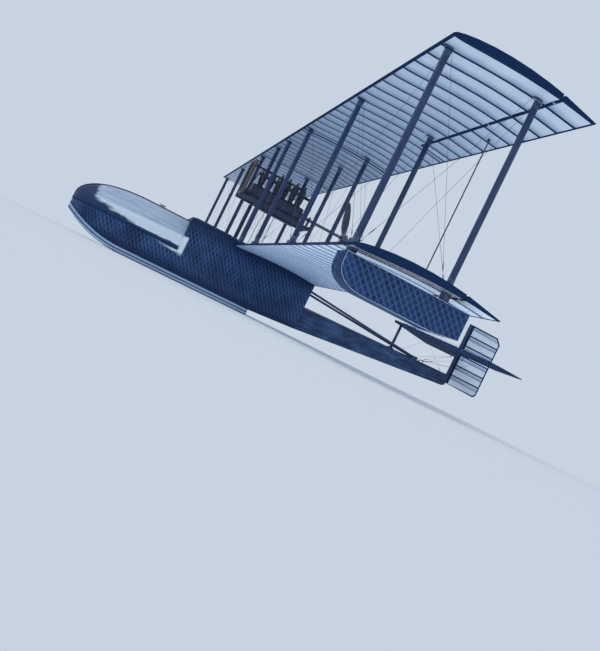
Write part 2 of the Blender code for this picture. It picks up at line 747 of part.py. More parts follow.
def build_tail_hull(navy, wood):
    """Slim tail hull, its two long braces and the strut under the stabiliser's apex."""
    front, end = TRANSOM_Y + SEAT_GAP, TAIL_END_Y
    hull = make_part("hull_afterbody", loft([tail_ring(y, 0) for y in (front, end)]), navy)
    hollow = [tail_ring(y, TAIL_WALL) for y in (front - 0.10, TAIL_HOLLOW_END_Y)]
    cut(hull, loft(hollow))
    half, depth, rise = BRACE_BLOCK
    block_top = deck_top(BRACE_END_Y) + rise
    add(hull, box(-half, half, BRACE_END_Y, BRACE_END_Y + depth, block_top - 0.12, block_top))
    half, depth, rise = STAB_STRUT_FOOT
    foot_top = deck_top(STAB_STRUT_Y) + rise
    add(hull, box(-half, half, STAB_STRUT_Y - depth, STAB_STRUT_Y + depth, foot_top - 0.05, foot_top))
    finish_part(hull, navy)

    brace_x, brace_z = BRACE_FRONT
    for side in (1, -1):
        rings = []
        ends = ((brace_x, front, brace_z), (BRACE_BACK_X, BRACE_END_Y - SEAT_GAP, block_top - 0.022))
        for x, y, z in ends:
            oval = []
            for i in range(10):
                a = 2 * math.pi * (i + 0.5) / 10
                oval.append((side * x + BRACE_RX * math.cos(a), y, z + BRACE_RZ * math.sin(a)))
            rings.append(oval)
        finish_part(make_part(f"tail_brace_{side_name(side)}", loft(rings), wood), wood)

    foot = foot_top + SEAT_GAP
    head = STAB_Z - STAB_THICK / 2 - SEAT_GAP
    shape = along_z([(0.8 * x, 0.8 * y) for x, y in strut_outline()], 0, head - foot)
    finish_part(make_part("stabiliser_strut", shape, wood, (0, STAB_STRUT_Y, foot)), wood)


def build_tail(navy, fabric, wood):
    """Stabiliser, rudder post, two elevators and the rudder."""
    half = STAB_THICK / 2
    outline = [
        (0, STAB_APEX_Y), (0.05, STAB_APEX_Y + 0.015),
        (STAB_HALF_SPAN - STAB_TIP_ROUND[0], TAIL_END_Y - STAB_TIP_ROUND[1]), (STAB_HALF_SPAN, TAIL_END_Y),
    ]
    whole = outline + [(-x, y) for x, y in reversed(outline[1:])]
    stab = make_part("stabiliser", along_z(whole, STAB_Z - half, STAB_Z + half), navy)
    reach = ELEVATOR_Y - TAIL_END_Y + 0.010
    for side in (1, -1):
        for x in ELEVATOR_LUGS_X:
            profile = [(ELEVATOR_Y + a, STAB_Z + b) for a, b in lug_outline(reach)]
            add(stab, along_x(profile, side * x - LUG_WIDTH / 2, side * x + LUG_WIDTH / 2))
    finish_part(stab, navy)

    upright = box(-POST_HALF, POST_HALF, POST_FRONT_Y, POST_BACK_Y, POST_BOTTOM_Z, RUDDER_TOP_Z)
    post = make_part("rudder_post", upright, wood)
    reach = RUDDER_Y - POST_BACK_Y + 0.010
    for z in RUDDER_LUGS_Z:
        profile = [(b, RUDDER_Y + a) for a, b in lug_outline(reach)]
        add(post, along_z(profile, z - LUG_WIDTH / 2, z + LUG_WIDTH / 2))
    finish_part(post, wood)

    for side in (1, -1):
        build_elevator(side, navy)
    build_rudder(fabric)


def build_elevator(side, navy):
    """Elevator half, cut away inboard so that the rudder can swing."""
    r = TAIL_NOSE_R
    depth = ELEVATOR_ROOT_TE_Y - ELEVATOR_Y
    root_x = ELEVATOR_INNER_X + (depth + r) * math.tan(ELEVATOR_CUT)
    tip_depth = TIP_TE_Y - ELEVATOR_Y
    profile = [(r * math.cos(a), r * math.sin(a)) for a in [math.pi / 2 + math.pi * i / 6 for i in range(7)]]
    profile += [(tip_depth, -0.004), (tip_depth, 0.004)]
    blank = along_x(profile, *sorted((side * ELEVATOR_INNER_X, side * (STAB_HALF_SPAN + 0.02))))
    part = make_part(f"elevator_{side_name(side)}", blank, navy, (0, ELEVATOR_Y, STAB_Z))
    plan = [
        (ELEVATOR_INNER_X, -r - 0.01), (STAB_HALF_SPAN + 0.02, -r - 0.01), (STAB_HALF_SPAN + 0.02, 0.06),
        (STAB_HALF_SPAN - 0.02, 0.40), (STAB_HALF_SPAN - 0.09, tip_depth - 0.06),
        (STAB_HALF_SPAN - 0.17, tip_depth),
        (STAB_HALF_SPAN - 0.30, tip_depth - 0.005), (root_x, depth), (ELEVATOR_INNER_X, -r),
    ]
    keep = along_z(flip_x(plan, side), -0.1, 0.1)
    boolean(part, keep, "INTERSECT")
    gap = LUG_WIDTH / 2 + SEAT_GAP
    for x in ELEVATOR_LUGS_X:
        cut(part, box(side * x - gap, side * x + gap, -0.1, NOTCH_BACK, -0.1, 0.1))
    finish_part(part, navy)


def build_rudder(fabric):
    """Tall rudder that passes between the elevators, drawn round its hinge line."""
    r = TAIL_NOSE_R
    depth = RUDDER_TE_Y - RUDDER_Y
    profile = [(r * math.cos(a), r * math.sin(a)) for a in [math.pi + math.pi * i / 6 for i in range(7)]]
    profile += [(0.004, depth), (-0.004, depth)]
    blank = along_z(profile, RUDDER_BOTTOM_Z, RUDDER_TOP_Z)
    rudder = make_part("rudder", blank, fabric, (0, RUDDER_Y, 0))
    plan = [
        (-r - 0.01, RUDDER_BOTTOM_Z + 0.02), (depth - 0.05, RUDDER_BOTTOM_Z), (depth, RUDDER_BOTTOM_Z + 0.05),
        (depth, RUDDER_TOP_Z - 0.10), (depth - 0.10, RUDDER_TOP_Z), (-r - 0.01, RUDDER_TOP_Z),
    ]
    boolean(rudder, along_x(plan, -0.1, 0.1), "INTERSECT")
    gap = LUG_WIDTH / 2 + SEAT_GAP
    for z in RUDDER_LUGS_Z:
        cut(rudder, box(-0.1, 0.1, -0.1, NOTCH_BACK, z - gap, z + gap))
    finish_part(rudder, fabric)


def build_engine_frame(wood):
    """Two rails and two cross beams between the centre struts, with the shaft's rear bearing."""
    reach = CENTRE_STRUT_X - STRUT_WIDTH / 2 - SEAT_GAP
    low = RAIL_TOP_Z - RAIL_DEPTH
    front, back = FRONT_STRUT_Y, REAR_STRUT_Y
    beam = box(-reach, reach, front - CROSS_HALF, front + CROSS_HALF, low, RAIL_TOP_Z)
    frame = make_part("engine_frame", beam, wood)
    add(frame, box(-reach, reach, back - CROSS_HALF, back + CROSS_HALF, low, RAIL_TOP_Z))
    rail = RAIL_WIDTH / 2
    for side in (1, -1):
        x = side * RAIL_X
        add(frame, box(x - rail, x + rail, RAIL_FRONT_Y, back + 0.02, low, RAIL_TOP_Z))
    top = THRUST_Z + 0.05
    block = [(-0.06, RAIL_TOP_Z - 0.05), (0.06, RAIL_TOP_Z - 0.05), (0.045, top), (-0.045, top)]
    add(frame, along_y(block, BEARING_Y - 0.012, BEARING_Y + 0.012))
    bore = SHAFT_R + 0.0006
    cut(frame, rod((0, BEARING_Y - 0.05, THRUST_Z), (0, BEARING_Y + 0.05, THRUST_Z), bore, 24))
    finish_part(frame, wood)


def cylinder_mesh(y):
    """Cylinder from its foot flange and bare barrel to the water jacket and domed head."""
    profile = (
        (1.08, CASE_TOP_Z - 0.010), (1.08, CASE_TOP_Z + 0.012), (BARREL_R / CYLINDER_R, CASE_TOP_Z + 0.014),
        (BARREL_R / CYLINDER_R, JACKET_FOOT_Z), (1.0, JACKET_FOOT_Z + 0.012), (1.0, HEAD_TOP_Z - 0.050),
        (0.82, HEAD_TOP_Z - 0.015), (0.30, HEAD_TOP_Z),
    )
    rings = [ring((0, y, z), CYLINDER_R * share, (0, 0, 1), CYLINDER_SIDES) for share, z in profile]
    return loft(rings)


def add_valve_gear(engine, y):
    """Push rod up the port side of a cylinder, and the rocker that it works over the head."""
    add(engine, rod((PUSHROD_X, y, CASE_TOP_Z - 0.04), (PUSHROD_X, y, ROCKER_TOP_Z - 0.010), PUSHROD_R, 8))
    low = HEAD_TOP_Z - 0.020
    add(engine, box(-0.010, 0.014, y - 0.012, y + 0.012, low, ROCKER_TOP_Z))
    arm = [
        (-0.045, ROCKER_TOP_Z - 0.020), (PUSHROD_X + 0.012, ROCKER_TOP_Z - 0.016),
        (PUSHROD_X + 0.012, ROCKER_TOP_Z - 0.006), (0.014, ROCKER_TOP_Z + 0.006),
        (-0.045, ROCKER_TOP_Z - 0.008),
    ]
    add(engine, along_y(arm, y - 0.006, y + 0.006))
    add(engine, rod((-0.036, y, low), (-0.036, y, ROCKER_TOP_Z - 0.012), 0.011, 8))


def build_engine(iron):
    """Six upright cylinders on a crankcase, with valve gear, intake pipe and magneto."""
    base = RAIL_TOP_Z + SEAT_GAP
    shoulder = CASE_TOP_Z - 0.03
    half = [(0.19, base), (0.19, base + 0.022), (0.135, base + 0.06), (0.125, shoulder), (0.085, CASE_TOP_Z)]
    case = half + [(-x, z) for x, z in reversed(half)]
    engine = make_part("engine", along_y(case, ENGINE_FRONT_Y, ENGINE_BACK_Y), iron)
    sump = [(-0.12, base + 0.01), (0.12, base + 0.01), (0.08, base - 0.09), (-0.08, base - 0.09)]
    add(engine, along_y(sump, FRONT_STRUT_Y + 0.05, ENGINE_BACK_Y - 0.03))
    log = rod((INTAKE_X, FIRST_CYLINDER_Y, INTAKE_Z), (INTAKE_X, LAST_CYLINDER_Y, INTAKE_Z), INTAKE_R, 12)
    add(engine, log)
    for i in range(CYLINDERS):
        y = FIRST_CYLINDER_Y + CYLINDER_PITCH * i
        add(engine, cylinder_mesh(y))
        add_valve_gear(engine, y)
        stub_y = y + 0.030
        add(engine, rod((0.02, stub_y, INTAKE_Z), (INTAKE_X, stub_y, INTAKE_Z), EXHAUST_STUB_R, 10))
    pipe_z = HEAD_TOP_Z - 0.005
    pipe_start = RAIL_FRONT_Y + RADIATOR_DEPTH + SEAT_GAP
    add(engine, rod((0, pipe_start, pipe_z), (0, LAST_CYLINDER_Y, pipe_z), PIPE_R, 10))
    middle = (FIRST_CYLINDER_Y + LAST_CYLINDER_Y) / 2
    bowl_z = CASE_TOP_Z + 0.020
    bowl = rod((INTAKE_X, middle, bowl_z - 0.040), (INTAKE_X, middle, bowl_z + 0.040), CARBURETTOR_R, 14)
    add(engine, bowl)
    add(engine, rod((INTAKE_X, middle, bowl_z), (INTAKE_X, middle, INTAKE_Z), 0.020, 10))
    magneto_z = base + 0.075
    for side in (1, -1):
        x = side * 0.105
        front = ENGINE_FRONT_Y - 0.085
        add(engine, rod((x, front, magneto_z), (x, ENGINE_FRONT_Y + 0.01, magneto_z), MAGNETO_R, 14))
    start = ENGINE_BACK_Y - 0.01
    add(engine, rod((0, start, THRUST_Z), (0, ENGINE_BACK_Y + FLANGE_REACH, THRUST_Z), FLANGE_R, 16))
    finish_part(engine, iron)


def build_exhaust(metal):
    """Exhaust pipe along the starboard side, with a stub to each cylinder."""
    facet = CYLINDER_R * math.cos(math.pi / CYLINDER_SIDES) + SEAT_GAP
    x = -(facet + 0.060)
    start = (x, FIRST_CYLINDER_Y - 0.07, EXHAUST_Z)
    exhaust = make_part("exhaust_manifold", rod(start, (x, EXHAUST_END_Y, EXHAUST_Z), EXHAUST_R, 14), metal)
    for i in range(CYLINDERS):
        y = FIRST_CYLINDER_Y + CYLINDER_PITCH * i
        add(exhaust, rod((x, y, EXHAUST_Z), (-facet, y, EXHAUST_Z), EXHAUST_STUB_R, 8))
    finish_part(exhaust, metal)


def build_radiator(brass):
    """Upright radiator on the front ends of the rails, with a raised filler cap."""
    y0, y1 = RAIL_FRONT_Y, RAIL_FRONT_Y + RADIATOR_DEPTH
    core = box(-RADIATOR_HALF, RADIATOR_HALF, y0, y1, RAIL_TOP_Z + SEAT_GAP, RADIATOR_TOP_Z)
    radiator = make_part("radiator", core, brass)
    middle = (y0 + y1) / 2
    add(radiator, rod((0, middle, RADIATOR_TOP_Z - 0.01), (0, middle, RADIATOR_TOP_Z + 0.035), FILLER_R, 14))
    finish_part(radiator, brass)


def blade_ring(r, chord, thick, pitch):
    """Section of a propeller blade at a radius, in the plane across the blade."""
    points = []
    for i in range(BLADE_SIDES):
        angle = 2 * math.pi * i / BLADE_SIDES
        along, across = chord / 2 * math.cos(angle), thick / 2 * math.sin(angle)
        x = along * math.cos(pitch) - across * math.sin(pitch)
        y = along * math.sin(pitch) + across * math.cos(pitch)
        points.append((x, y, r))
    return points


def build_propeller(wood):
    """Two-blade wooden pusher propeller with its hub and long shaft, on its own axis."""
    stations = (
        (0.02, 0.085, 0.085), (0.10, 0.080, 0.070), (0.16, 0.090, 0.058), (0.24, 0.118, 0.046),
        (0.34, 0.150, 0.036), (0.48, 0.178, 0.029), (0.62, 0.190, 0.024), (0.76, 0.180, 0.020),
        (0.88, 0.150, 0.016), (0.96, 0.115, 0.013), (1.02, 0.075, 0.010), (PROP_RADIUS, 0.035, 0.008),
    )
    hub = rod((0, -HUB_HALF, 0), (0, HUB_HALF, 0), HUB_R, 24)
    propeller = make_part("propeller", hub, wood, (0, PROP_Y, THRUST_Z))
    for side in (1, -1):
        rings = []
        for r, chord, thick in stations:
            pitch = math.atan2(PROP_ADVANCE, 2 * math.pi * max(r, 0.18))
            rings.append([(side * x, y, side * z) for x, y, z in blade_ring(r, chord, thick, pitch)])
        add(propeller, loft(rings))
    start = ENGINE_BACK_Y + FLANGE_REACH + SEAT_GAP - PROP_Y
    add(propeller, rod((0, start, 0), (0, HUB_HALF + 0.040, 0), SHAFT_R, 24))
    add(propeller, rod((0, 0.02, 0), (0, HUB_HALF + 0.020, 0), 0.06, 24))
    propeller.rotation_euler = (0, PROP_TURN, 0)
    bpy.context.view_layer.update()
    finish_part(propeller, wood)


def build_floats(navy):
    """Long box floats under the wing tips, with the blocks that seat them."""
    low, top = FLOAT_BOTTOM_Z, FLOAT_TOP_Z
    front, back = FLOAT_FRONT_Y, FLOAT_BACK_Y
    heel_length, heel_rise = FLOAT_HEEL
    drop = top - FLOAT_NOSE_SQUARE - low
    outline = [(front, top)]
    for i in range(FLOAT_NOSE_STEPS + 1):
        a = math.pi / 2 * i / FLOAT_NOSE_STEPS
        outline.append((front + FLOAT_NOSE_LENGTH * (1 - math.cos(a)), low + drop * (1 - math.sin(a))))
    outline += [(back - heel_length, low), (back, low + heel_rise), (back, top)]
    for side in (1, -1):
        x = side * FLOAT_X
        shape = along_x(outline, x - FLOAT_W / 2, x + FLOAT_W / 2)
        body = make_part(f"tip_float_{side_name(side)}", shape, navy)
        for y in (FRONT_STRUT_Y, REAR_STRUT_Y):
            add(body, pad_mesh(x, y, top - 0.01, FLOAT_PAD_Z - SEAT_GAP))
        finish_part(body, navy)


def main():
    clear_scene()
    navy = make_material("navy_paint", (0.035, 0.055, 0.16), 0.45)
    fabric = make_material("doped_fabric", (0.62, 0.69, 0.80), 0.6)
    wood = make_material("dark_wood", (0.06, 0.07, 0.14), 0.5)
    leather = make_material("seat_leather", (0.10, 0.07, 0.06), 0.6)
    iron = make_material("engine_iron", (0.07, 0.08, 0.13), 0.5, 0.6)
    metal = make_material("dark_metal", (0.09, 0.10, 0.14), 0.4, 0.8)
    brass = make_material("radiator_brass", (0.30, 0.24, 0.12), 0.4, 0.9)
    build_fore_hull(navy)
    build_keel_strip(navy)
    build_bow_deck(navy)
    build_cockpit_shell(navy)
    build_seat(wood, leather)
    build_controls(metal)
    build_tail_hull(navy, wood)
    build_wings(fabric)
    for side in (1, -1):
        build_aileron("upper", side, UPPER_Z, fabric)
        build_aileron("lower", side, LOWER_Z, fabric)
        build_aileron_link(side, metal)
    build_struts(wood)
    build_tail(navy, fabric, wood)
    build_engine_frame(wood)
    build_engine(iron)
    build_exhaust(metal)
    build_radiator(brass)
    build_propeller(wood)
    build_floats(navy)


main()
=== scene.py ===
import math

import bmesh
import bpy
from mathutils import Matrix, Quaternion, Vector


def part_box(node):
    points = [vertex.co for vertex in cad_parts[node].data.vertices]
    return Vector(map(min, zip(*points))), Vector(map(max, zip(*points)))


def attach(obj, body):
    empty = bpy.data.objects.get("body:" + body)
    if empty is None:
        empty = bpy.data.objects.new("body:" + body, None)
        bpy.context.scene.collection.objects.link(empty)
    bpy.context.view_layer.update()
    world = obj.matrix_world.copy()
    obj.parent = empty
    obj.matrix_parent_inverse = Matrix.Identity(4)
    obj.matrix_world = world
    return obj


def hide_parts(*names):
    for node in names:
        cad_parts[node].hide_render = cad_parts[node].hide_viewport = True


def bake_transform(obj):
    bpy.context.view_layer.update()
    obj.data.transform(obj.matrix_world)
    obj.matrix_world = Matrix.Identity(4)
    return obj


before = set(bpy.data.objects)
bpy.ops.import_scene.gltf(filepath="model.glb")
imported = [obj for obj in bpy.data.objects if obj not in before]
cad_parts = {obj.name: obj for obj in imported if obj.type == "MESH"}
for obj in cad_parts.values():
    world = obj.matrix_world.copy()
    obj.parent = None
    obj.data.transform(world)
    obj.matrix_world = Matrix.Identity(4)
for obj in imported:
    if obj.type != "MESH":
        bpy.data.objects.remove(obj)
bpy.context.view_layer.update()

ACROSS, AFT, UP = Vector((1, 0, 0)), Vector((0, 1, 0)), Vector((0, 0, 1))
SIDES = ("port", "starboard")

# Camera: low, ahead and to port, rolled as the photograph is
CAMERA_PLACE = Vector((12.628, -3.088, 0.06))
CAMERA_AIM = Vector((0, 0.309, 0.253))
CAMERA_ROLL = math.radians(-26.04)
CAMERA_LENS = 41.79

# Floor and light
FLOOR_SIZE = 900
FLOOR_ALBEDO = 0.76
AIR_COLOUR = (0.575, 0.655, 0.755)
SUN_HEIGHT = math.radians(48)
SUN_TURN = math.radians(-60)
SUN_SPREAD = math.radians(30)
LAMP_PLACE, LAMP_SIZE, LAMP_POWER = (2.6, -0.6, 0.02), (11, 7), 170

# Wings and tail
HALF_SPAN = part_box("upper_wing_port")[1].x
RIB_COUNT = 23
RIB_PITCH = HALF_SPAN / RIB_COUNT
TAPE_HALF, TAPE_RISE = 0.019, 0.0012
BAY_SAG, TAIL_SAG = 0.0045, 0.003
TAIL_RIB_PITCH, TAIL_TAPE_HALF = 0.13, 0.008
RUDDER_BAYS, RUDDER_TAPE_HALF, RUDDER_CORNER_TAPE = 6, 0.012, 0.037
SPAR_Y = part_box("aileron_upper_port")[0].y - 0.007
AILERON_INNER_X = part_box("aileron_upper_port")[0].x
LUG_X = (3.75, 5.35, 6.55)
FRONT_STRUT_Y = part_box("upper_wing_centre")[0].y + 0.085
REAR_STRUT_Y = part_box("upper_wing_centre")[0].y + 1.04
STRUT_X, CENTRE_STRUT_X, FLOAT_X = (1.8, 4.1, 6.45), 0.42, 6.5
SOCKET_X, SOCKET_Y = 0.031, 0.056
CUP_LENGTH = 0.07
FLOAT_TOP_Z = 0.885

# Hull
HULL_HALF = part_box("hull_forebody")[1].x
BOW_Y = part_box("hull_forebody")[0].y
STERN_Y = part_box("hull_forebody")[1].y
BOW_LENGTH = 0.56
SHEER_BOW_Z = 0.48
SHEER_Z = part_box("hull_forebody")[1].z
STEP_Y = -0.73
WATERLINE_Z = 0.105
DECK_CROWN_Z = 0.985
DECK_ROUND_Y = -2.85
DECK_SHOULDER_TURN = math.pi * 6 / 14
BOW_RISE_Y, BOW_RISE = -3, 0.3
PLANKS_ROUND_Y = -3.39
NOSE_CAP_Y = -3.66
# Ends of the painted highlight along the bow's shoulder
HIGHLIGHT_FRONT_Y, HIGHLIGHT_BACK_Y = -3.66, -2.06
STREAK_Z = 0.492

# Engine and propeller
FIRST_CYLINDER_Y, CYLINDER_PITCH = -1.3875, 0.145
HEAD_Z, BEARER_Z = 2.34, 1.79
SHAFT = Vector((0, 0.32, 1.93))
SHEATH_REACH = 0.84

# Cockpit
PAD_CHANNEL, PAD_BUTTON_Y = 0.064, (-1.8, -1.65)
PAD_PRESSURE, PAD_SWELL, PAD_VOXEL, PAD_FRAMES = 4, 0.014, 0.009, 20
LACE_PITCH = 0.062
ROLL_HALF, ROLL_FRONT_Y, ROLL_BACK_Y, ROLL_Z, ROLL_CORNER = 0.398, -2.113, -1.482, 1.049, 0.06
GAUGE_Z = 0.952
HORN_REACH = 0.11


def take(piece=None):
    """Leave edit mode and let go of every piece but the one given."""
    if bpy.context.object and bpy.context.object.mode != "OBJECT":
        bpy.ops.object.mode_set(mode="OBJECT")
    bpy.ops.object.select_all(action="DESELECT")
    if piece:
        piece.select_set(True)
        bpy.context.view_layer.objects.active = piece


def edit(piece, action="DESELECT"):
    """Open one piece in edit mode with nothing selected, or all of it."""
    take(piece)
    bpy.ops.object.mode_set(mode="EDIT")
    bpy.ops.mesh.select_mode(type="FACE")
    bpy.ops.mesh.select_all(action=action)


def pick(piece, test, kind="FACE"):
    """Select the faces or corners whose place and normal pass a test, or the edges whose two ends do."""
    bpy.ops.mesh.select_mode(type=kind)
    bpy.ops.mesh.select_all(action="DESELECT")
    shape = bmesh.from_edit_mesh(piece.data)
    if kind == "FACE":
        found = [face for face in shape.faces if test(face.calc_center_median(), face.normal)]
    elif kind == "VERT":
        found = [corner for corner in shape.verts if test(corner.co, corner.normal)]
    else:
        found = [edge for edge in shape.edges if test(edge.verts[0].co, edge.verts[1].co)]
    for part in found:
        part.select_set(True)
    bmesh.update_edit_mesh(piece.data)


def cut(place, normal, **ends):
    """Cut new edges all round the open piece where a plane meets it."""
    bpy.ops.mesh.select_all(action="SELECT")
    bpy.ops.mesh.bisect(plane_co=place, plane_no=normal, **ends)


def cut_at(axis, spots):
    """Cut new edges all round the open piece at each spot along an axis."""
    for spot in spots:
        cut(axis * spot, axis)


def inset(piece, test, *steps):
    """Inset the faces that pass a test by each (thickness, depth) in turn."""
    edit(piece)
    pick(piece, test)
    for thickness, depth in steps:
        bpy.ops.mesh.inset(thickness=thickness, depth=depth)
    take()


def give(piece, finish):
    """Give a piece one finish all over."""
    piece.data.materials.clear()
    piece.data.materials.append(finish)


def paint(piece, finish, test, rise=0):
    """Give the faces that pass a test another finish, and raise them if asked."""
    if finish.name not in piece.data.materials:
        piece.data.materials.append(finish)
    edit(piece)
    pick(piece, test)
    piece.active_material_index = piece.data.materials.find(finish.name)
    bpy.ops.object.material_slot_assign()
    if rise:
        bpy.ops.mesh.extrude_region_shrink_fatten(TRANSFORM_OT_shrink_fatten={"value": rise})


def sag(piece, depth, test):
    """Let the corners that pass a test sink."""
    pick(piece, test, "VERT")
    bpy.ops.transform.shrink_fatten(value=-depth)


def modify(piece, kind, **settings):
    """Give a piece a modifier and apply it."""
    modifier = piece.modifiers.new("change", kind)
    for key, value in settings.items():
        setattr(modifier, key, value)
    take(piece)
    bpy.ops.object.modifier_apply(modifier=modifier.name)


def soften(piece, width, angle=30):
    """Round a piece's sharp edges."""
    modify(
        piece, "BEVEL", width=width, segments=2, limit_method="ANGLE",
        angle_limit=math.radians(angle), harden_normals=False,
    )


def smooth(piece):
    """Divide a piece's faces once, to round them."""
    modify(piece, "SUBSURF", levels=1, render_levels=1)


def add_object(name, data):
    """New object with its data, put in the scene."""
    made = bpy.data.objects.new(name, data)
    bpy.context.scene.collection.objects.link(made)
    return made


def from_node(node, finish, width=0, angle=30):
    """Copy of a CAD node's mesh, merged to clean flat faces, with its edges rounded if a width is given."""
    piece = add_object(node + "_copy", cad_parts[node].data.copy())
    edit(piece, "SELECT")
    bpy.ops.mesh.remove_doubles(threshold=0.00005)
    bpy.ops.mesh.dissolve_limited(angle_limit=math.radians(0.5))
    take(piece)
    bpy.ops.mesh.customdata_custom_splitnormals_clear()
    give(piece, finish)
    if width:
        soften(piece, width, angle)
    return piece


def join(parts):
    """Join parts into the first."""
    take(parts[0])
    if len(parts) > 1:
        for part in parts:
            part.select_set(True)
        bpy.ops.object.join()
    return parts[0]


def copy_at(piece, shift):
    """Copy a piece with its own mesh, moved."""
    take(piece)
    bpy.ops.object.duplicate(linked=False)
    made = bpy.context.object
    made.location = made.location + Vector(shift)
    bpy.ops.object.transform_apply()
    return made


def copies(piece, shifts):
    """A piece joined with its copies, one at each shift."""
    return join([piece] + [copy_at(piece, shift) for shift in shifts])


def row(piece, pitch, count):
    """A piece joined with its copies in an even row."""
    return copies(piece, [pitch * i for i in range(1, count)])


def settle(parts, name, finish=None, body="airframe", angle=30, node=None, bend=None):
    """Join a piece's parts, smooth and finish it, and let it ride on its body; where a bend is given, its
    place is baked into its mesh and it rides on no body.

    Where a CAD node is named, the piece stands for it."""
    piece = join(parts) if isinstance(parts, list) else parts
    piece.name = piece.data.name = name
    take(piece)
    bpy.ops.object.transform_apply()
    bpy.ops.object.shade_smooth_by_angle(angle=math.radians(angle))
    if finish:
        give(piece, finish)
    if bend:
        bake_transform(piece)
    else:
        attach(piece, body)
    if node:
        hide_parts(node)
    take()
    return piece


def block(low, high, bevel, segments=2):
    """Block between two corners with rounded edges."""
    take()
    low, high = Vector(low), Vector(high)
    bpy.ops.mesh.primitive_cube_add(size=1, location=(low + high) / 2)
    piece = bpy.context.object
    piece.scale = high - low
    bpy.ops.object.transform_apply()
    edit(piece, "SELECT")
    bpy.ops.mesh.bevel(offset=bevel, segments=segments, affect="EDGES")
    take()
    return piece


def bar(start, end, radius, sides=10, rim=0, end_radius=None):
    """Round bar between two points, its rims rounded where a rim is given."""
    take()
    start, end = Vector(start), Vector(end)
    along = (end - start).normalized()
    bpy.ops.mesh.primitive_cone_add(
        vertices=sides, radius1=radius, radius2=radius if end_radius is None else end_radius,
        depth=(end - start).length, location=(start + end) / 2,
        rotation=along.to_track_quat("Z", "Y").to_euler(),
    )
    piece = bpy.context.object
    bpy.ops.object.transform_apply()
    if rim:
        edit(piece)
        pick(piece, lambda first, second: abs((second - first).normalized().dot(along)) < 0.5, "EDGE")
        bpy.ops.mesh.bevel(offset=rim, segments=2, affect="EDGES")
        take()
    return piece


def turned(foot, along, *rows):
    """Round bars on one line from a foot, each as (start, end, radius, sides, rim, end radius)."""
    foot, along = Vector(foot), Vector(along)
    return [bar(foot + along * start, foot + along * end, *sizes) for start, end, *sizes in rows]


def band(centre, axis, radius, tube, widen=1, sides=20):
    """Ring about an axis, widened along it to a flat band."""
    take()
    bpy.ops.mesh.primitive_torus_add(
        major_segments=sides, minor_segments=6, major_radius=radius, minor_radius=tube, location=(0, 0, 0),
    )
    piece = bpy.context.object
    edit(piece, "SELECT")
    bpy.ops.transform.resize(value=(1, 1, widen))
    take(piece)
    piece.rotation_euler = Vector(axis).to_track_quat("Z", "Y").to_euler()
    piece.location = centre
    bpy.ops.object.transform_apply()
    return piece


def bolt(place, axis, size):
    """Hexagon bolt head with its washer."""
    return join(turned(
        place, Vector(axis).normalized(),
        (0, size * 0.9, size, 6, size * 0.15), (-0.001, size * 0.2, size * 1.5, 12),
    ))


def moulding(points, radius, sides=8, closed=False, widths=()):
    """Round moulding swept along points, with its own width at each point if given."""
    take()
    curve = bpy.data.curves.new("moulding", "CURVE")
    curve.dimensions = "3D"
    curve.bevel_depth = radius
    curve.bevel_resolution = sides // 4
    curve.use_fill_caps = True
    line = curve.splines.new("POLY")
    line.points.add(len(points) - 1)
    line.use_cyclic_u = closed
    for spot, point in zip(line.points, points):
        spot.co = (*point, 1)
    for spot, width in zip(line.points, widths):
        spot.radius = width
    take(add_object("moulding", curve))
    bpy.ops.object.convert(target="MESH")
    return bpy.context.object


def heading(degrees, first=ACROSS, second=UP):
    """Direction turned from the first towards the second."""
    angle = math.radians(degrees)
    return first * math.cos(angle) + second * math.sin(angle)


def close_to(value, spots, reach):
    """Whether a value lies within reach of one of the spots."""
    return any(abs(value - spot) < reach for spot in spots)


def tape_edges(ribs, half):
    """Both edges of the tape on each rib."""
    return [rib + way for rib in ribs for way in (-half, half)]


def sum_of(operation, turned_round=False):
    """Way to do one sum with a pattern and a number or another pattern."""
    def do_sum(first, second=0):
        inputs = {0: second, 1: first} if turned_round else {0: first, 1: second}
        return first.finish.node("Math", 0, inputs, operation=operation)
    return do_sum


class Pattern:
    """A value that varies over a finish; sums with it are done on every point of the surface."""

    def __init__(self, finish, socket):
        self.finish = finish
        self.socket = socket

    __add__ = sum_of("ADD")
    __sub__ = sum_of("SUBTRACT")
    __rsub__ = sum_of("SUBTRACT", turned_round=True)
    __mul__ = sum_of("MULTIPLY")
    __truediv__ = sum_of("DIVIDE")
    __lt__ = sum_of("LESS_THAN")
    __gt__ = sum_of("GREATER_THAN")
    __abs__ = sum_of("ABSOLUTE")
    most = sum_of("MAXIMUM")
    part = sum_of("FRACT")
    floor = sum_of("FLOOR")


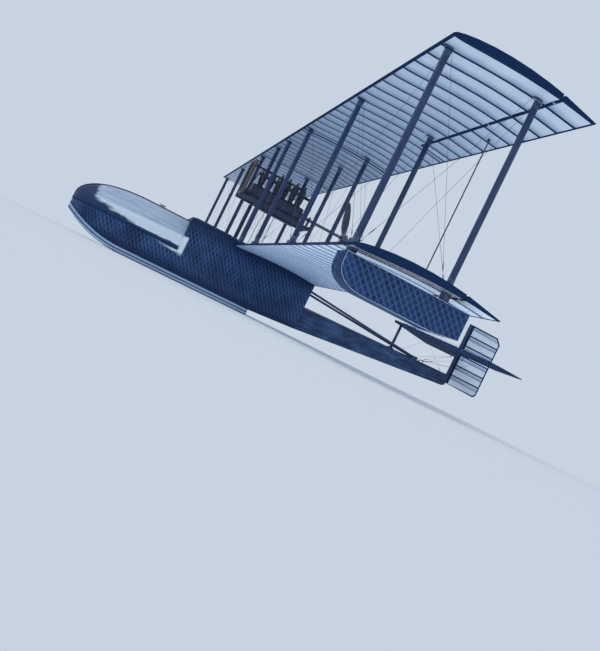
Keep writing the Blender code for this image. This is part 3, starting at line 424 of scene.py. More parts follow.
class Finish:
    """One procedural finish, read on the object's own coordinates."""

    def __init__(self, name, roughness, metallic=0, coat=0, coat_roughness=0.1, shine=0.5):
        self.material = bpy.data.materials.new(name)
        self.material.use_nodes = True
        self.tree = self.material.node_tree
        self.shader = self.tree.nodes["Principled BSDF"].inputs
        for key, value in (
            ("Roughness", roughness), ("Metallic", metallic), ("Specular IOR Level", shine),
            ("Coat Weight", coat), ("Coat Roughness", coat_roughness),
        ):
            self.shader[key].default_value = value
        self.place = self.node("TexCoord", "Object", {})
        self.x, self.y, self.z = self.spread(self.place)

    def feed(self, socket, value):
        """Link a socket to a pattern, or set its number, place or colour."""
        if isinstance(value, Pattern):
            self.tree.links.new(value.socket, socket)
        else:
            socket.default_value = (*value, 1) if socket.type == "RGBA" else value

    def node(self, kind, output, inputs, **settings):
        """One output of a new node."""
        made = self.tree.nodes.new("ShaderNode" + kind)
        for key, value in settings.items():
            setattr(made, key, value)
        for key, value in inputs.items():
            self.feed(made.inputs[key], value)
        return Pattern(self, made.outputs[output])

    def spread(self, place):
        """The three coordinates of a place."""
        made = self.node("SeparateXYZ", 0, {"Vector": place})
        return [Pattern(self, output) for output in made.socket.node.outputs]

    def stretch(self, scale, turn=(0, 0, 0), place=None):
        """Coordinates stretched and turned about the object's origin."""
        inputs = {"Vector": place or self.place, "Scale": scale, "Rotation": turn}
        return self.node("Mapping", "Vector", inputs)

    def noise(self, scale, detail=4, roughness=0.55, place=None):
        """Cloudy grey pattern."""
        inputs = {"Vector": place or self.place, "Scale": scale, "Detail": detail, "Roughness": roughness}
        return self.node("TexNoise", "Fac", inputs)

    def grain(self, scale, detail=5, roughness=0.6, turn=(0, 0, 0)):
        """Cloudy pattern drawn out along the axis of the smallest scale."""
        return self.noise(1, detail, roughness, self.stretch(scale, turn))

    def chance(self, number):
        """A grey by chance for each whole number."""
        return self.node("TexWhiteNoise", "Value", {"W": number}, noise_dimensions="1D")

    def ramp(self, value, *stops, interpolation="LINEAR"):
        """Greys by value, between stops of (place, grey)."""
        made = self.node("ValToRGB", "Color", {"Fac": value})
        ramp = made.socket.node.color_ramp
        ramp.interpolation = interpolation
        while len(ramp.elements) < len(stops):
            ramp.elements.new(0.5)
        for element, (spot, grey) in zip(ramp.elements, stops):
            element.position = spot
        for element, (spot, grey) in zip(ramp.elements, stops):
            element.color = (grey, grey, grey, 1)
        return made

    def mix(self, share, first, second):
        """Blend of two colours."""
        return self.node("Mix", 2, {0: share, 6: first, 7: second}, data_type="RGBA", clamp_result=True)

    def done(self, colour, height, distance, strength, rough=None):
        """The material, with its colour, raised pattern and roughness as (noise scale, stop, stop)."""
        self.feed(self.shader["Base Color"], colour)
        bump = {"Height": height, "Distance": distance, "Strength": strength}
        self.feed(self.shader["Normal"], self.node("Bump", "Normal", bump))
        if rough:
            self.feed(self.shader["Roughness"], self.ramp(self.noise(rough[0]), *rough[1:]))
        return self.material


# Inks of the photograph, as linear colours
NAVY = (0.007, 0.021, 0.07)
NAVY_DEEP = (0.003, 0.01, 0.042)
NAVY_MID = (0.009, 0.033, 0.112)
NAVY_BRIGHT = (0.013, 0.046, 0.145)
NAVY_WORN = (0.058, 0.108, 0.222)
NAVY_TAPE = (0.012, 0.034, 0.1)
NAVY_CLOTH = (0.062, 0.115, 0.235)
NAVY_STREAK = (0.062, 0.122, 0.262)
PALE = (0.76, 0.84, 0.92)
# Painted shade of the linen near the wing root
PALE_ROOT_SHADE = (0.33, 0.43, 0.59)
PALE_CLOUD = (0.36, 0.46, 0.62)
PALE_SHADE = (0.21, 0.3, 0.46)
BOTTOM_PALE = (0.29, 0.385, 0.53)
BOTTOM_SCUFF = (0.1, 0.155, 0.27)
# Painted highlight on the bow's shoulder
HIGHLIGHT_PALE = (0.62, 0.675, 0.735)
# Pale canvas on the deck's top, which also stands in for highlight there
CANVAS_HIGHLIGHT = (0.5, 0.57, 0.66)
CANVAS_SHADE = (0.255, 0.325, 0.445)


def make_fabric(name, pitch, inner, upright=False):
    """Pale doped linen with painted shade: a soft blue shade on one side of each rib, and, where a root
    colour is given, painted shade darkening it towards the wing root.
    """
    made = Finish(name, 0.5, coat=0.15, coat_roughness=0.3)
    along = made.z if upright else made.x
    bay = (along / pitch + 100).part() + (made.noise(1.7) - 0.5) * 0.5
    shade = made.ramp(bay, (0.04, 0), (0.2, 0.5), (0.45, 1), (0.9, 1), (1, 0.45))
    # Painted shade: the linen darkens towards the wing root
    root_shade = made.ramp(abs(along) / HALF_SPAN, (0.05, 0), (0.62, 0.3), (0.98, 1))
    cloud = made.ramp(made.noise(2.3, 5), (0.3, 0), (0.7, 1))
    light = made.mix(cloud * 0.3, made.mix(root_shade, inner, PALE), PALE_CLOUD)
    weave = made.noise(900, 2) * 0.1 + made.grain((9, 2.2, 9), 4, 0.5)
    return made.done(made.mix(shade, PALE_SHADE, light), weave, 0.0022, 0.6, (14, (0.2, 0.42), (0.8, 0.62)))


def make_rib_tape():
    """Navy doped tape sewn along the ribs and edges."""
    made = Finish("rib_tape", 0.8, shine=0.05)
    return made.done(made.mix(made.noise(22), NAVY, NAVY_TAPE), made.noise(700, 2), 0.0004, 0.6)


def make_planks(name, pitch, lean, bow=False):
    """Navy skin of two layers of narrow diagonal planks; the bow's has a painted highlight on its shoulder,
    painted shade darkening it towards the bottom and the top of the side, and a boot top.
    """
    made = Finish(name, 0.55, coat=0.02, coat_roughness=0.3, shine=0.12)
    inward = (HULL_HALF - abs(made.x)) * 0.75 * (made.y < PLANKS_ROUND_Y)
    wrapped = made.node("CombineXYZ", "Vector", {"Y": made.y - inward, "Z": made.z})
    outer, under = (
        made.spread(made.stretch((1, 1, 1), (math.radians(turn), 0, 0), wrapped))[1] / width + 200
        for turn, width in ((lean, pitch), (-lean - 12, pitch * 1.15))
    )
    seam, under_seam = (
        made.ramp(layer.part(), (0, 0), (0.1, 1), (0.78, 1), (0.92, 0)) for layer in (outer, under)
    )
    patch = made.ramp(made.noise(5), (0.35, 0), (0.7, 1))
    face = made.mix(patch * 0.5, made.mix(made.chance(outer.floor()), NAVY_DEEP, NAVY_MID), NAVY_BRIGHT)
    grain = made.grain((60, 60, 6), turn=(math.radians(lean), 0, 0))
    seamed = made.mix(seam, NAVY_WORN, face)
    seamed = made.mix(made.ramp(under_seam, (0, 0.45), (1, 1)), NAVY_WORN, seamed)
    skin = made.mix(made.ramp(grain, (0.45, 0), (0.8, 0.5)), seamed, NAVY_WORN)
    if bow:
        # Painted shade: the navy darkens towards the bottom and the top of the side; the blotches are random
        # darker patches
        depth = made.ramp(
            made.z, (0.13, 0.8), (0.34, 0), (0.7, 0), (0.98, 0.65), interpolation="EASE",
        )
        blotch = made.ramp(made.noise(1.9, 3), (0.48, 0), (0.66, 0.55))
        skin = made.mix(depth.most(blotch), skin, NAVY_DEEP)
        outside = (abs(made.x) > HULL_HALF - 0.01).most(made.y < BOW_RISE_Y)
        skin = add_boot_top(made, made.mix(outside, skin, add_painted_highlight(made, skin)))
    return made.done(skin, seam + grain * 0.4, 0.0012, 0.7, (9, (0.25, 0.34), (0.8, 0.55)))


def add_painted_highlight(made, skin):
    """Painted highlight along the bow's shoulder, pale and brushed: square aft, ragged below, with a navy
    streak.
    """
    along = (made.y - HIGHLIGHT_FRONT_Y) / (HIGHLIGHT_BACK_Y - HIGHLIGHT_FRONT_Y)
    ragged = (made.grain((3, 5, 30)) - 0.5) * 0.15
    low = along * -0.225 + 0.62 + ragged
    high = along * 0.06 + 0.655
    above = made.ramp((made.z - low) * 12 + 0.4, (0.2, 0), (0.8, 1))
    below = made.ramp((high - made.z) * 20 + 0.3, (0.1, 0), (0.7, 1))
    ahead = made.ramp(along, (0, 0), (0.08, 0.9), (0.975, 1), (0.99, 0))
    streak = made.ramp(abs(made.z - (ragged * 0.35 + STREAK_Z)) / 0.1, (0.3, 1), (0.46, 0))
    reach = made.ramp(along, (0.36, 0), (0.46, 1), (0.92, 1), (0.94, 0))
    return made.mix(above * below * ahead * (1 - streak * reach), skin, HIGHLIGHT_PALE)


def add_boot_top(made, skin):
    """Pale bottom paint carried up the side, to a line that rises round the bow."""
    climb = ((BOW_RISE_Y - made.y) / (BOW_RISE_Y - BOW_Y)).most(0)
    covered = (climb * climb * BOW_RISE + WATERLINE_Z > made.z) * (made.y < STEP_Y)
    scuff = made.ramp(made.grain((30, 1.2, 30), 6), (0.35, 0), (0.75, 0.5))
    return made.mix(covered, skin, made.mix(scuff, BOTTOM_PALE, BOTTOM_SCUFF))


def make_deck_canvas_and_highlight():
    """Canvas painted pale on the deck's top, where the pale also stands in for highlight, with a navy nose
    cap, a navy strip down its ridge, navy sides and the painted highlight on its shoulder.
    """
    made = Finish("deck_canvas", 0.55, shine=0.3)
    brushed = made.ramp(made.grain((26, 2.2, 26), 6, 0.65), (0.3, 0), (0.72, 1))
    ragged = (made.grain((24, 5, 24)) - 0.5) * 0.3
    cap = made.ramp((NOSE_CAP_Y - (made.y + ragged)) * 12 + 0.5, (0.2, 0), (0.8, 1))
    ridge = made.ramp(abs(made.x), (0.085, 1), (0.1, 0))
    # Navy on the nose cap, the ridge and the sides; pale canvas above, standing in for highlight on the
    # deck's top
    covered = cap.most(ridge).most(made.z < 0.635)
    grain = made.ramp(made.grain((60, 30, 60)), (0.35, 0), (0.7, 1))
    navy = made.mix(grain, NAVY_DEEP, NAVY_BRIGHT)
    skin = add_painted_highlight(made, made.mix(covered, made.mix(brushed, CANVAS_SHADE, CANVAS_HIGHLIGHT), navy))
    return made.done(skin, made.noise(600, 2) + brushed, 0.0009, 0.5, (12, (0.25, 0.45), (0.8, 0.68)))


def make_tail_cloth():
    """Navy doped cloth with fine pale weathering lines along the ribs."""
    made = Finish("tail_cloth", 0.75, shine=0.06)
    line = made.grain((70, 1.6, 20), 4)
    tone = made.ramp(line, (0.44, 0), (0.53, 0.35), (0.66, 1))
    return made.done(made.mix(tone, NAVY, NAVY_CLOTH), made.noise(800, 2) + line, 0.0006, 0.5)


def make_streaked_paint():
    """Navy paint with fine streaks along the boat."""
    made = Finish("streaked_navy", 0.5, coat=0.06, coat_roughness=0.25, shine=0.15)
    streak = made.grain((38, 1.4, 38), 5, 0.65)
    mottle = made.ramp(made.grain((7, 3.2, 9), 4), (0.36, 0.25), (0.64, 1))
    tone = made.ramp(streak, (0.34, 0), (0.5, 0.5), (0.66, 1)) * mottle
    return made.done(made.mix(tone, NAVY, NAVY_STREAK), streak, 0.001, 0.5, (8, (0.25, 0.3), (0.8, 0.55)))


def make_bottom_paint():
    """Pale blue-grey bottom paint with scuffs along the way it runs."""
    made = Finish("bottom_paint", 0.45, coat=0.3, coat_roughness=0.25)
    scuff = made.grain((30, 1.2, 30), 6)
    tone = made.ramp(scuff, (0.35, 0), (0.75, 1))
    return made.done(made.mix(tone, BOTTOM_PALE, BOTTOM_SCUFF), scuff, 0.0008, 0.4)


def make_wood(name, scale, dark, light):
    """Dark stained wood with its grain along the axis of the smallest scale."""
    made = Finish(name, 0.44, coat=0.15, coat_roughness=0.22, shine=0.3)
    grain = made.grain(scale, 6)
    tone = made.ramp(grain, (0.3, 0), (0.55, 0.5), (0.75, 1))
    return made.done(made.mix(tone, dark, light), grain, 0.0006, 0.5)


def make_metal(name, dark, light, roughness, metallic=1):
    """Metal with stains and fine scratches."""
    made = Finish(name, roughness, metallic)
    stain = made.ramp(made.noise(18, 6, 0.6), (0.3, 0), (0.7, 1))
    rough = (45, (0.25, roughness - 0.1), (0.75, roughness + 0.14))
    return made.done(made.mix(stain, dark, light), made.noise(260, 3), 0.0003, 0.5, rough)


def make_leather(dark, light):
    """Grained leather, darker in its creases."""
    made = Finish("seat_hide", 0.5)
    inputs = {"Vector": made.place, "Scale": 240}
    cells = made.node("TexVoronoi", "Distance", inputs, feature="DISTANCE_TO_EDGE")
    crease = made.ramp(cells, (0, 0), (0.12, 1))
    worn = made.ramp(made.noise(16, 5), (0.35, 0), (0.75, 1))
    colour = made.mix(crease, dark, made.mix(worn, dark, light))
    return made.done(colour, crease, 0.0005, 0.6, (30, (0.25, 0.38), (0.75, 0.6)))


def make_propeller_wood(dark, light, bright):
    """Dark laminated wood: the layers step back through the propeller's depth."""
    made = Finish("laminated_walnut", 0.3, coat=0.8, coat_roughness=0.08)
    grain = made.grain((8, 120, 8), 6, turn=(0, math.radians(45), 0))
    wood = made.mix(made.chance((made.y / 0.022).floor()), dark, light)
    return made.done(made.mix(made.ramp(grain, (0.4, 0), (0.75, 0.6)), wood, bright), grain, 0.0004, 0.4)


LINEN = make_fabric("wing_linen", RIB_PITCH, PALE_ROOT_SHADE)
RUDDER_LINEN = make_fabric("rudder_linen", 0.198, PALE, upright=True)
TAPE = make_rib_tape()
PLANKS = make_planks("hull_planks", 0.056, -34, bow=True)
LATTICE = make_planks("float_planks", 0.048, -45)
CANVAS = make_deck_canvas_and_highlight()
TAIL_CLOTH = make_tail_cloth()
STREAKED = make_streaked_paint()
BOTTOM = make_bottom_paint()
SPRUCE = make_wood("stained_spruce", (110, 110, 4.5), (0.008, 0.022, 0.075), (0.04, 0.074, 0.165))
ASH = make_wood("stained_ash", (90, 5, 90), (0.013, 0.022, 0.06), (0.06, 0.078, 0.13))
BENCH_WOOD = make_wood("bench_wood", (5, 80, 80), (0.016, 0.02, 0.042), (0.075, 0.078, 0.105))
WALNUT = make_propeller_wood((0.016, 0.02, 0.048), (0.052, 0.054, 0.088), (0.085, 0.085, 0.12))
IRON = make_metal("engine_iron", (0.032, 0.042, 0.076), (0.07, 0.087, 0.13), 0.4, 0.75)
STEEL = make_metal("fitting_steel", (0.04, 0.062, 0.12), (0.145, 0.19, 0.28), 0.36)
BURNT = make_metal("burnt_pipe", (0.02, 0.02, 0.034), (0.085, 0.075, 0.095), 0.5)
BRASS = make_metal("dull_brass", (0.08, 0.082, 0.095), (0.172, 0.17, 0.168), 0.34)
COPPER = make_metal("copper_pipe", (0.075, 0.06, 0.065), (0.24, 0.165, 0.14), 0.34)
PORCELAIN = make_metal("plug_porcelain", (0.42, 0.46, 0.52), (0.62, 0.66, 0.72), 0.25, 0)
LEATHER = make_leather((0.012, 0.014, 0.03), (0.048, 0.05, 0.078))


def facing(direction):
    """Turn of a camera or lamp that looks along a direction."""
    return Vector(direction).to_track_quat("-Z", "Y")


def make_camera():
    """Camera at the photograph's angle."""
    data = bpy.data.cameras.new("camera")
    data.lens = CAMERA_LENS
    data.sensor_width = 36
    data.clip_end = 2000
    camera = add_object("camera", data)
    camera.rotation_mode = "QUATERNION"
    camera.location = CAMERA_PLACE
    camera.rotation_quaternion = facing(CAMERA_AIM - CAMERA_PLACE) @ Quaternion((0, 0, 1), -CAMERA_ROLL)
    bpy.context.scene.camera = camera


def make_stage():
    """Pale floor, an even pale sky whose tone the far floor meets, and a soft sun and lamp."""
    data = bpy.data.lights.new("lamp_below", "AREA")
    data.shape = "RECTANGLE"
    data.size, data.size_y = LAMP_SIZE
    data.energy = LAMP_POWER
    data.color = AIR_COLOUR
    lamp = add_object("lamp_below", data)
    lamp.location = LAMP_PLACE
    lamp.rotation_euler = facing(UP).to_euler()
    lamp.visible_camera = False

    take()
    bpy.ops.mesh.primitive_plane_add(size=FLOOR_SIZE, location=(0, 0, 0))
    floor = bpy.context.object
    floor.name = "floor"
    made = Finish("floor_grey", 0.95, shine=0)
    made.feed(made.shader["Base Color"], (FLOOR_ALBEDO,) * 3)
    floor.data.materials.append(made.material)

    world = bpy.data.worlds.new("studio")
    bpy.context.scene.world = world
    world.use_nodes = True
    world.node_tree.nodes["Background"].inputs["Color"].default_value = (*AIR_COLOUR, 1)

    data = bpy.data.lights.new("sun", "SUN")
    data.angle = SUN_SPREAD
    brightest = max(AIR_COLOUR)
    data.color = [channel / brightest for channel in AIR_COLOUR]
    data.energy = brightest * math.pi * (1 / FLOOR_ALBEDO - 1) / math.sin(SUN_HEIGHT)
    flat = Vector((math.cos(SUN_TURN), math.sin(SUN_TURN), 0)) * math.cos(SUN_HEIGHT)
    add_object("sun", data).rotation_euler = facing(-flat - UP * math.sin(SUN_HEIGHT)).to_euler()
    bpy.context.scene.view_settings.view_transform = "Standard"


def in_socket(spot, stations):
    """Whether a spot on a wing lies at one of its strut sockets."""
    rows = (FRONT_STRUT_Y, REAR_STRUT_Y)
    return close_to(abs(spot.x), stations, SOCKET_X) and close_to(spot.y, rows, SOCKET_Y)


def cover_wing(node, stations=(), body="airframe"):
    """Fabric cover of a wing panel or aileron, with taped ribs, sagging bays and metal sockets."""
    piece = from_node(node, LINEN)
    low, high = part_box(node)
    side = 1 if low.x + high.x >= 0 else -1
    near, far = (low.x, high.x) if side > 0 else (-high.x, -low.x)
    tapes = (low.y + 0.03, high.y - 0.022)
    edges = (near + TAPE_HALF * 2, far - TAPE_HALF * 2)
    ribs = [RIB_PITCH * k for k in range(-RIB_COUNT, RIB_COUNT + 1)]
    ribs = [rib for rib in ribs if near + 0.08 < rib < far - 0.08]
    bays = [(rib + RIB_PITCH * share, share) for rib in ribs for share in (0.25, 0.5, 0.75)]
    bays = [(spot, share) for spot, share in bays if spot < far - 0.04]
    cuts = [*edges, *tape_edges(ribs, TAPE_HALF), *(spot for spot, share in bays)]
    edit(piece)
    cut_at(ACROSS, [side * x for x in cuts])
    cut_at(AFT, tapes)
    for wanted, depth in ((0.5, BAY_SAG), (0.25, BAY_SAG * 0.72), (0.75, BAY_SAG * 0.72)):
        spots = [side * spot for spot, share in bays if share == wanted]

        def hangs_free(place, normal):
            if in_socket(place, stations) or not low.y + 0.06 < place.y < high.y - 0.04:
                return False
            return close_to(place.x, spots, 0.0005)

        sag(piece, depth, hangs_free)

    def is_taped(place, normal):
        if in_socket(place, stations) or abs(normal.x) > 0.5:
            return False
        x = place.x * side
        inside = edges[0] <= x <= edges[1] and tapes[0] <= place.y <= tapes[1]
        return close_to(x, ribs, TAPE_HALF) or not inside

    def is_end(place, normal):
        return abs(normal.x) > 0.5 and (abs(place.x) > far - 0.002 or abs(place.x) < near + 0.002)

    def is_fitting(place, normal):
        return in_socket(place, stations) and (abs(normal.z) < 0.5 or place.z <= low.z + 0.012)

    def is_hinge_lug(place, normal):
        return close_to(abs(place.x), LUG_X, 0.0155) and place.y > SPAR_Y + 0.0005

    paint(piece, TAPE, is_taped, TAPE_RISE)
    paint(piece, TAPE, is_end)
    paint(piece, STEEL, is_fitting)
    if body != "airframe":
        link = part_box(node.replace("upper", "link").replace("lower", "link"))
        eye = (link[0] + link[1]) / 2
        eye.z = link[0].z + 0.014 if "lower" in node else link[1].z - 0.014

        def is_link_lug(place, normal):
            x, y, z = place - eye
            return abs(x) < 0.026 and abs(y) < 0.0145 and abs(z) < 0.042

        paint(piece, STEEL, is_link_lug)
    elif far > AILERON_INNER_X:
        paint(piece, STEEL, is_hinge_lug)
    settle(piece, node + "_cover", body=body, node=node)


def cover_wings():
    """Covers for the three upper and two lower panels and the four ailerons."""
    cover_wing("upper_wing_centre", (CENTRE_STRUT_X,))
    for level, stations in (("upper", STRUT_X), ("lower", STRUT_X + (FLOAT_X,))):
        for side in SIDES:
            aileron = f"aileron_{level}_{side}"
            cover_wing(f"{level}_wing_{side}", stations)
            cover_wing(aileron, body=aileron)


def refine_hull():
    """Fore hull, decks, coaming and tail hull with rounded edges and painted bottom."""
    hull = from_node("hull_forebody", PLANKS, 0.005)
    paint(hull, BOTTOM, lambda place, normal: normal.z < -0.5 and place.z < 0.33)
    paint(hull, TAPE, lambda place, normal: place.z < 0.0125 and abs(place.x) > HULL_HALF - 0.051)
    settle(hull, "hull_skin", node="hull_forebody")
    for node, name, finish, width in (
        ("keel_strip", "keel_shoe", PLANKS, 0.003), ("bow_deck", "turtle_deck", CANVAS, 0.005),
        ("rear_deck", "wing_deck", PLANKS, 0.003), ("cockpit_frame", "dash_frame", PLANKS, 0.003),
        ("cockpit_coaming", "coaming_rim", PLANKS, 0.008),
        ("hull_afterbody", "tail_hull_skin", STREAKED, 0.006),
    ):
        piece = from_node(node, finish, width)
        if node == "rear_deck":
            sockets = (CENTRE_STRUT_X,)
            paint(piece, STEEL, lambda place, normal: in_socket(place, sockets) and place.z > SHEER_Z + 0.01)
        settle(piece, name, node=node)


def bow_stations(count):
    """Stations from the stem back to the straight sides, closest together at the stem."""
    return [BOW_Y + BOW_LENGTH * (1 - math.cos(math.pi / 2 * i / count)) for i in range(count + 1)]


def half_beam(y):
    """Half beam of the fore hull at a station."""
    share = max(0, 0.985 * (1 - (y - BOW_Y) / BOW_LENGTH))
    return HULL_HALF * math.sqrt(1 - share ** 2)


def deck_shoulder(side, y):
    """Point on one shoulder of the bow deck at a station."""
    crown = DECK_CROWN_Z
    if y < DECK_ROUND_Y:
        share = (DECK_ROUND_Y - y) / (DECK_ROUND_Y - BOW_Y)
        foot = SHEER_BOW_Z + 0.1
        crown = foot + (DECK_CROWN_Z - foot) * math.sqrt(max(0, 1 - share ** 2.2))
    height = (crown - SHEER_BOW_Z) * math.sin(DECK_SHOULDER_TURN) ** 0.85
    return side * half_beam(y) * math.cos(DECK_SHOULDER_TURN) ** 0.75, y, SHEER_BOW_Z + height + 0.003


def round_bow(height, rise, back):
    """Line from one side round the bow to the other, rising towards the stem as the bottom paint does."""
    line = [(HULL_HALF + 0.002, y, height) for y in (back, BOW_RISE_Y)]
    for y in [-3.1, -3.2, -3.3] + bow_stations(12)[::-1]:
        climb = (BOW_RISE_Y - y) / (BOW_RISE_Y - BOW_Y)
        line.append((half_beam(y) + 0.002, y - 0.002 * climb, height + rise * climb ** 2))
    return line + [(-x, y, z) for x, y, z in reversed(line)]


def add_strips():
    """Rubbing strips along the sheer, the chine and the deck's shoulders."""
    strips = [
        moulding(round_bow(SHEER_BOW_Z, 0, -2.18), 0.008),
        moulding(round_bow(WATERLINE_Z, BOW_RISE, STEP_Y), 0.007),
        moulding(round_bow(WATERLINE_Z * 0.52, BOW_RISE * 0.94, STEP_Y), 0.007),
    ]
    for side in (1, -1):
        ends = (-2.14, STERN_Y - 0.01)
        strips.append(moulding([(side * (HULL_HALF - 0.004), y, SHEER_Z - 0.012) for y in ends], 0.009))
        stations = bow_stations(8) + [-3.2, -3, DECK_ROUND_Y, -2.5, -2.178]
        line = [deck_shoulder(side, y) for y in stations]
        strips.append(moulding([(line[0][0], BOW_Y - 0.003, SHEER_BOW_Z)] + line, 0.011))
    settle(strips, "rubbing_strips", TAPE, angle=40)


def refine_floats():
    """Tip floats with rounded edges, pale edge battens and metal sockets."""
    for side in SIDES:
        node = f"tip_float_{side}"
        low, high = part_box(node)
        piece = from_node(node, LATTICE, 0.007)
        paint(piece, TAIL_CLOTH, lambda place, normal: abs(normal.x) < 0.6)
        paint(piece, STEEL, lambda place, normal: place.z > FLOAT_TOP_Z + 0.0015)
        settle(piece, f"float_{side}", node=node)
        drop = FLOAT_TOP_Z - 0.1 - low.z
        edge = [(low.y, FLOAT_TOP_Z - 0.004)]
        for degrees in range(0, 91, 15):
            turn = math.radians(degrees)
            edge.append((low.y + 0.26 * (1 - math.cos(turn)), low.z + drop * (1 - math.sin(turn))))
        edge += [(high.y - 0.25, low.z), (high.y, low.z + 0.035), (high.y, FLOAT_TOP_Z - 0.004)]
        battens = []
        for x in (low.x, high.x):
            battens.append(moulding([(x, y, z) for y, z in edge], 0.0038))
            battens.append(moulding([(x, y, FLOAT_TOP_Z - 0.002) for y in (low.y, high.y)], 0.0038))
        settle(battens, f"float_battens_{side}", BOTTOM, angle=40)


def refine_struts():
    """Struts with rounded section, and a metal cup with its bolt at each end."""
    nodes = []
    for place in ("front", "rear"):
        for side in SIDES:
            nodes += [f"strut_{place}_{side}_{i}" for i in (1, 2, 3)] + [f"centre_strut_{place}_{side}"]
    for node in nodes + ["stabiliser_strut"]:
        settle(from_node(node, SPRUCE, 0.0045, 15), node + "_wood", angle=50, node=node)
    cup = from_node("strut_front_port_1", STEEL)
    low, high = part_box("strut_front_port_1")
    middle = Vector(((low.x + high.x) / 2, FRONT_STRUT_Y, low.z))
    edit(cup)
    cut(UP * (low.z + CUP_LENGTH), UP, clear_outer=True, use_fill=True)
    bpy.ops.mesh.select_all(action="SELECT")
    bpy.ops.transform.resize(value=(1.1, 1.05, 1), center_override=middle)
    soften(cup, 0.002)
    cup = join([cup] + turned(middle + UP * 0.035, ACROSS, (-0.026, 0.026, 0.007, 6, 0.001)))
    cups = []
    for place, y in (("front", FRONT_STRUT_Y), ("rear", REAR_STRUT_Y)):
        struts = [(x, f"strut_{place}_port_{i}") for i, x in enumerate(STRUT_X, 1)]
        for x, strut in struts + [(CENTRE_STRUT_X, f"centre_strut_{place}_port")]:
            low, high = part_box(strut)
            spots = [Vector((side * x, y, z)) for side in (1, -1) for z in (low.z, high.z - CUP_LENGTH)]
            cups += [copy_at(cup, spot - middle) for spot in spots]
    bpy.data.objects.remove(cup, do_unlink=True)
    settle(cups, "strut_cups", STEEL)


def cover_tail(node, body, edge):
    """Navy cloth over a flat tail surface, taped on its ribs and taut between them."""
    piece = from_node(node, TAIL_CLOTH, edge)
    low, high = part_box(node)
    ribs = [TAIL_RIB_PITCH * k for k in range(-10, 11)]
    ribs = [rib for rib in ribs if low.x + 0.05 < rib < high.x - 0.05]
    middles = [rib + TAIL_RIB_PITCH / 2 for rib in ribs if rib + TAIL_RIB_PITCH / 2 < high.x - 0.02]
    edit(piece)
    cut_at(ACROSS, tape_edges(ribs, TAIL_TAPE_HALF) + middles)
    sag(piece, TAIL_SAG, lambda place, normal: abs(normal.z) > 0.9 and close_to(place.x, middles, 0.0005))

    def is_taped(place, normal):
        return abs(normal.z) > 0.8 and close_to(place.x, ribs, TAIL_TAPE_HALF)

    paint(piece, TAPE, is_taped, TAPE_RISE)
    settle(piece, node + "_cover", body=body, node=node)


def cover_rudder():
    """Pale cloth over the rudder, taped along its ribs, edges and corners."""
    piece = from_node("rudder", RUDDER_LINEN)
    low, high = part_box("rudder")
    step = (high.z - low.z) / RUDDER_BAYS
    ribs = [low.z + step * k for k in range(1, RUDDER_BAYS)]
    middles = [low.z + step * (k + 0.5) for k in range(RUDDER_BAYS)]
    ends = (low.z + 0.026, high.z - 0.026)
    edges = (low.y + 0.045, high.y - 0.026)
    top_corner = high.y + high.z - 0.1 - RUDDER_CORNER_TAPE
    low_corner = high.y - low.z - 0.05 - RUDDER_CORNER_TAPE
    edit(piece)
    cut_at(UP, [*ends, *tape_edges(ribs, RUDDER_TAPE_HALF)])
    cut_at(AFT, edges)
    cut_at(UP, middles)
    cut((0, top_corner - high.z, high.z), (0, 1, 1))
    cut((0, low_corner + low.z, low.z), (0, 1, -1))
    cut_at(AFT, (low.y + 0.22, low.y + 0.45))

    def hangs_free(place, normal):
        return close_to(place.z, middles, 0.001) and low.y + 0.05 < place.y < high.y - 0.03

    def is_edge(place, normal):
        return abs(normal.x) < 0.3

    def is_taped(place, normal):
        if is_edge(place, normal):
            return False
        if place.y + place.z > top_corner or place.y - place.z > low_corner:
            return True
        inside = edges[0] < place.y < edges[1] and ends[0] < place.z < ends[1]
        return close_to(place.z, ribs, RUDDER_TAPE_HALF) or not inside

    sag(piece, TAIL_SAG, hangs_free)
    paint(piece, TAPE, is_taped, TAPE_RISE)
    paint(piece, TAPE, is_edge)
    settle(piece, "rudder_cover", body="rudder", node="rudder")


def per_cylinder(piece):
    """A piece with its copies at the other five cylinders."""
    return row(piece, AFT * CYLINDER_PITCH, 6)


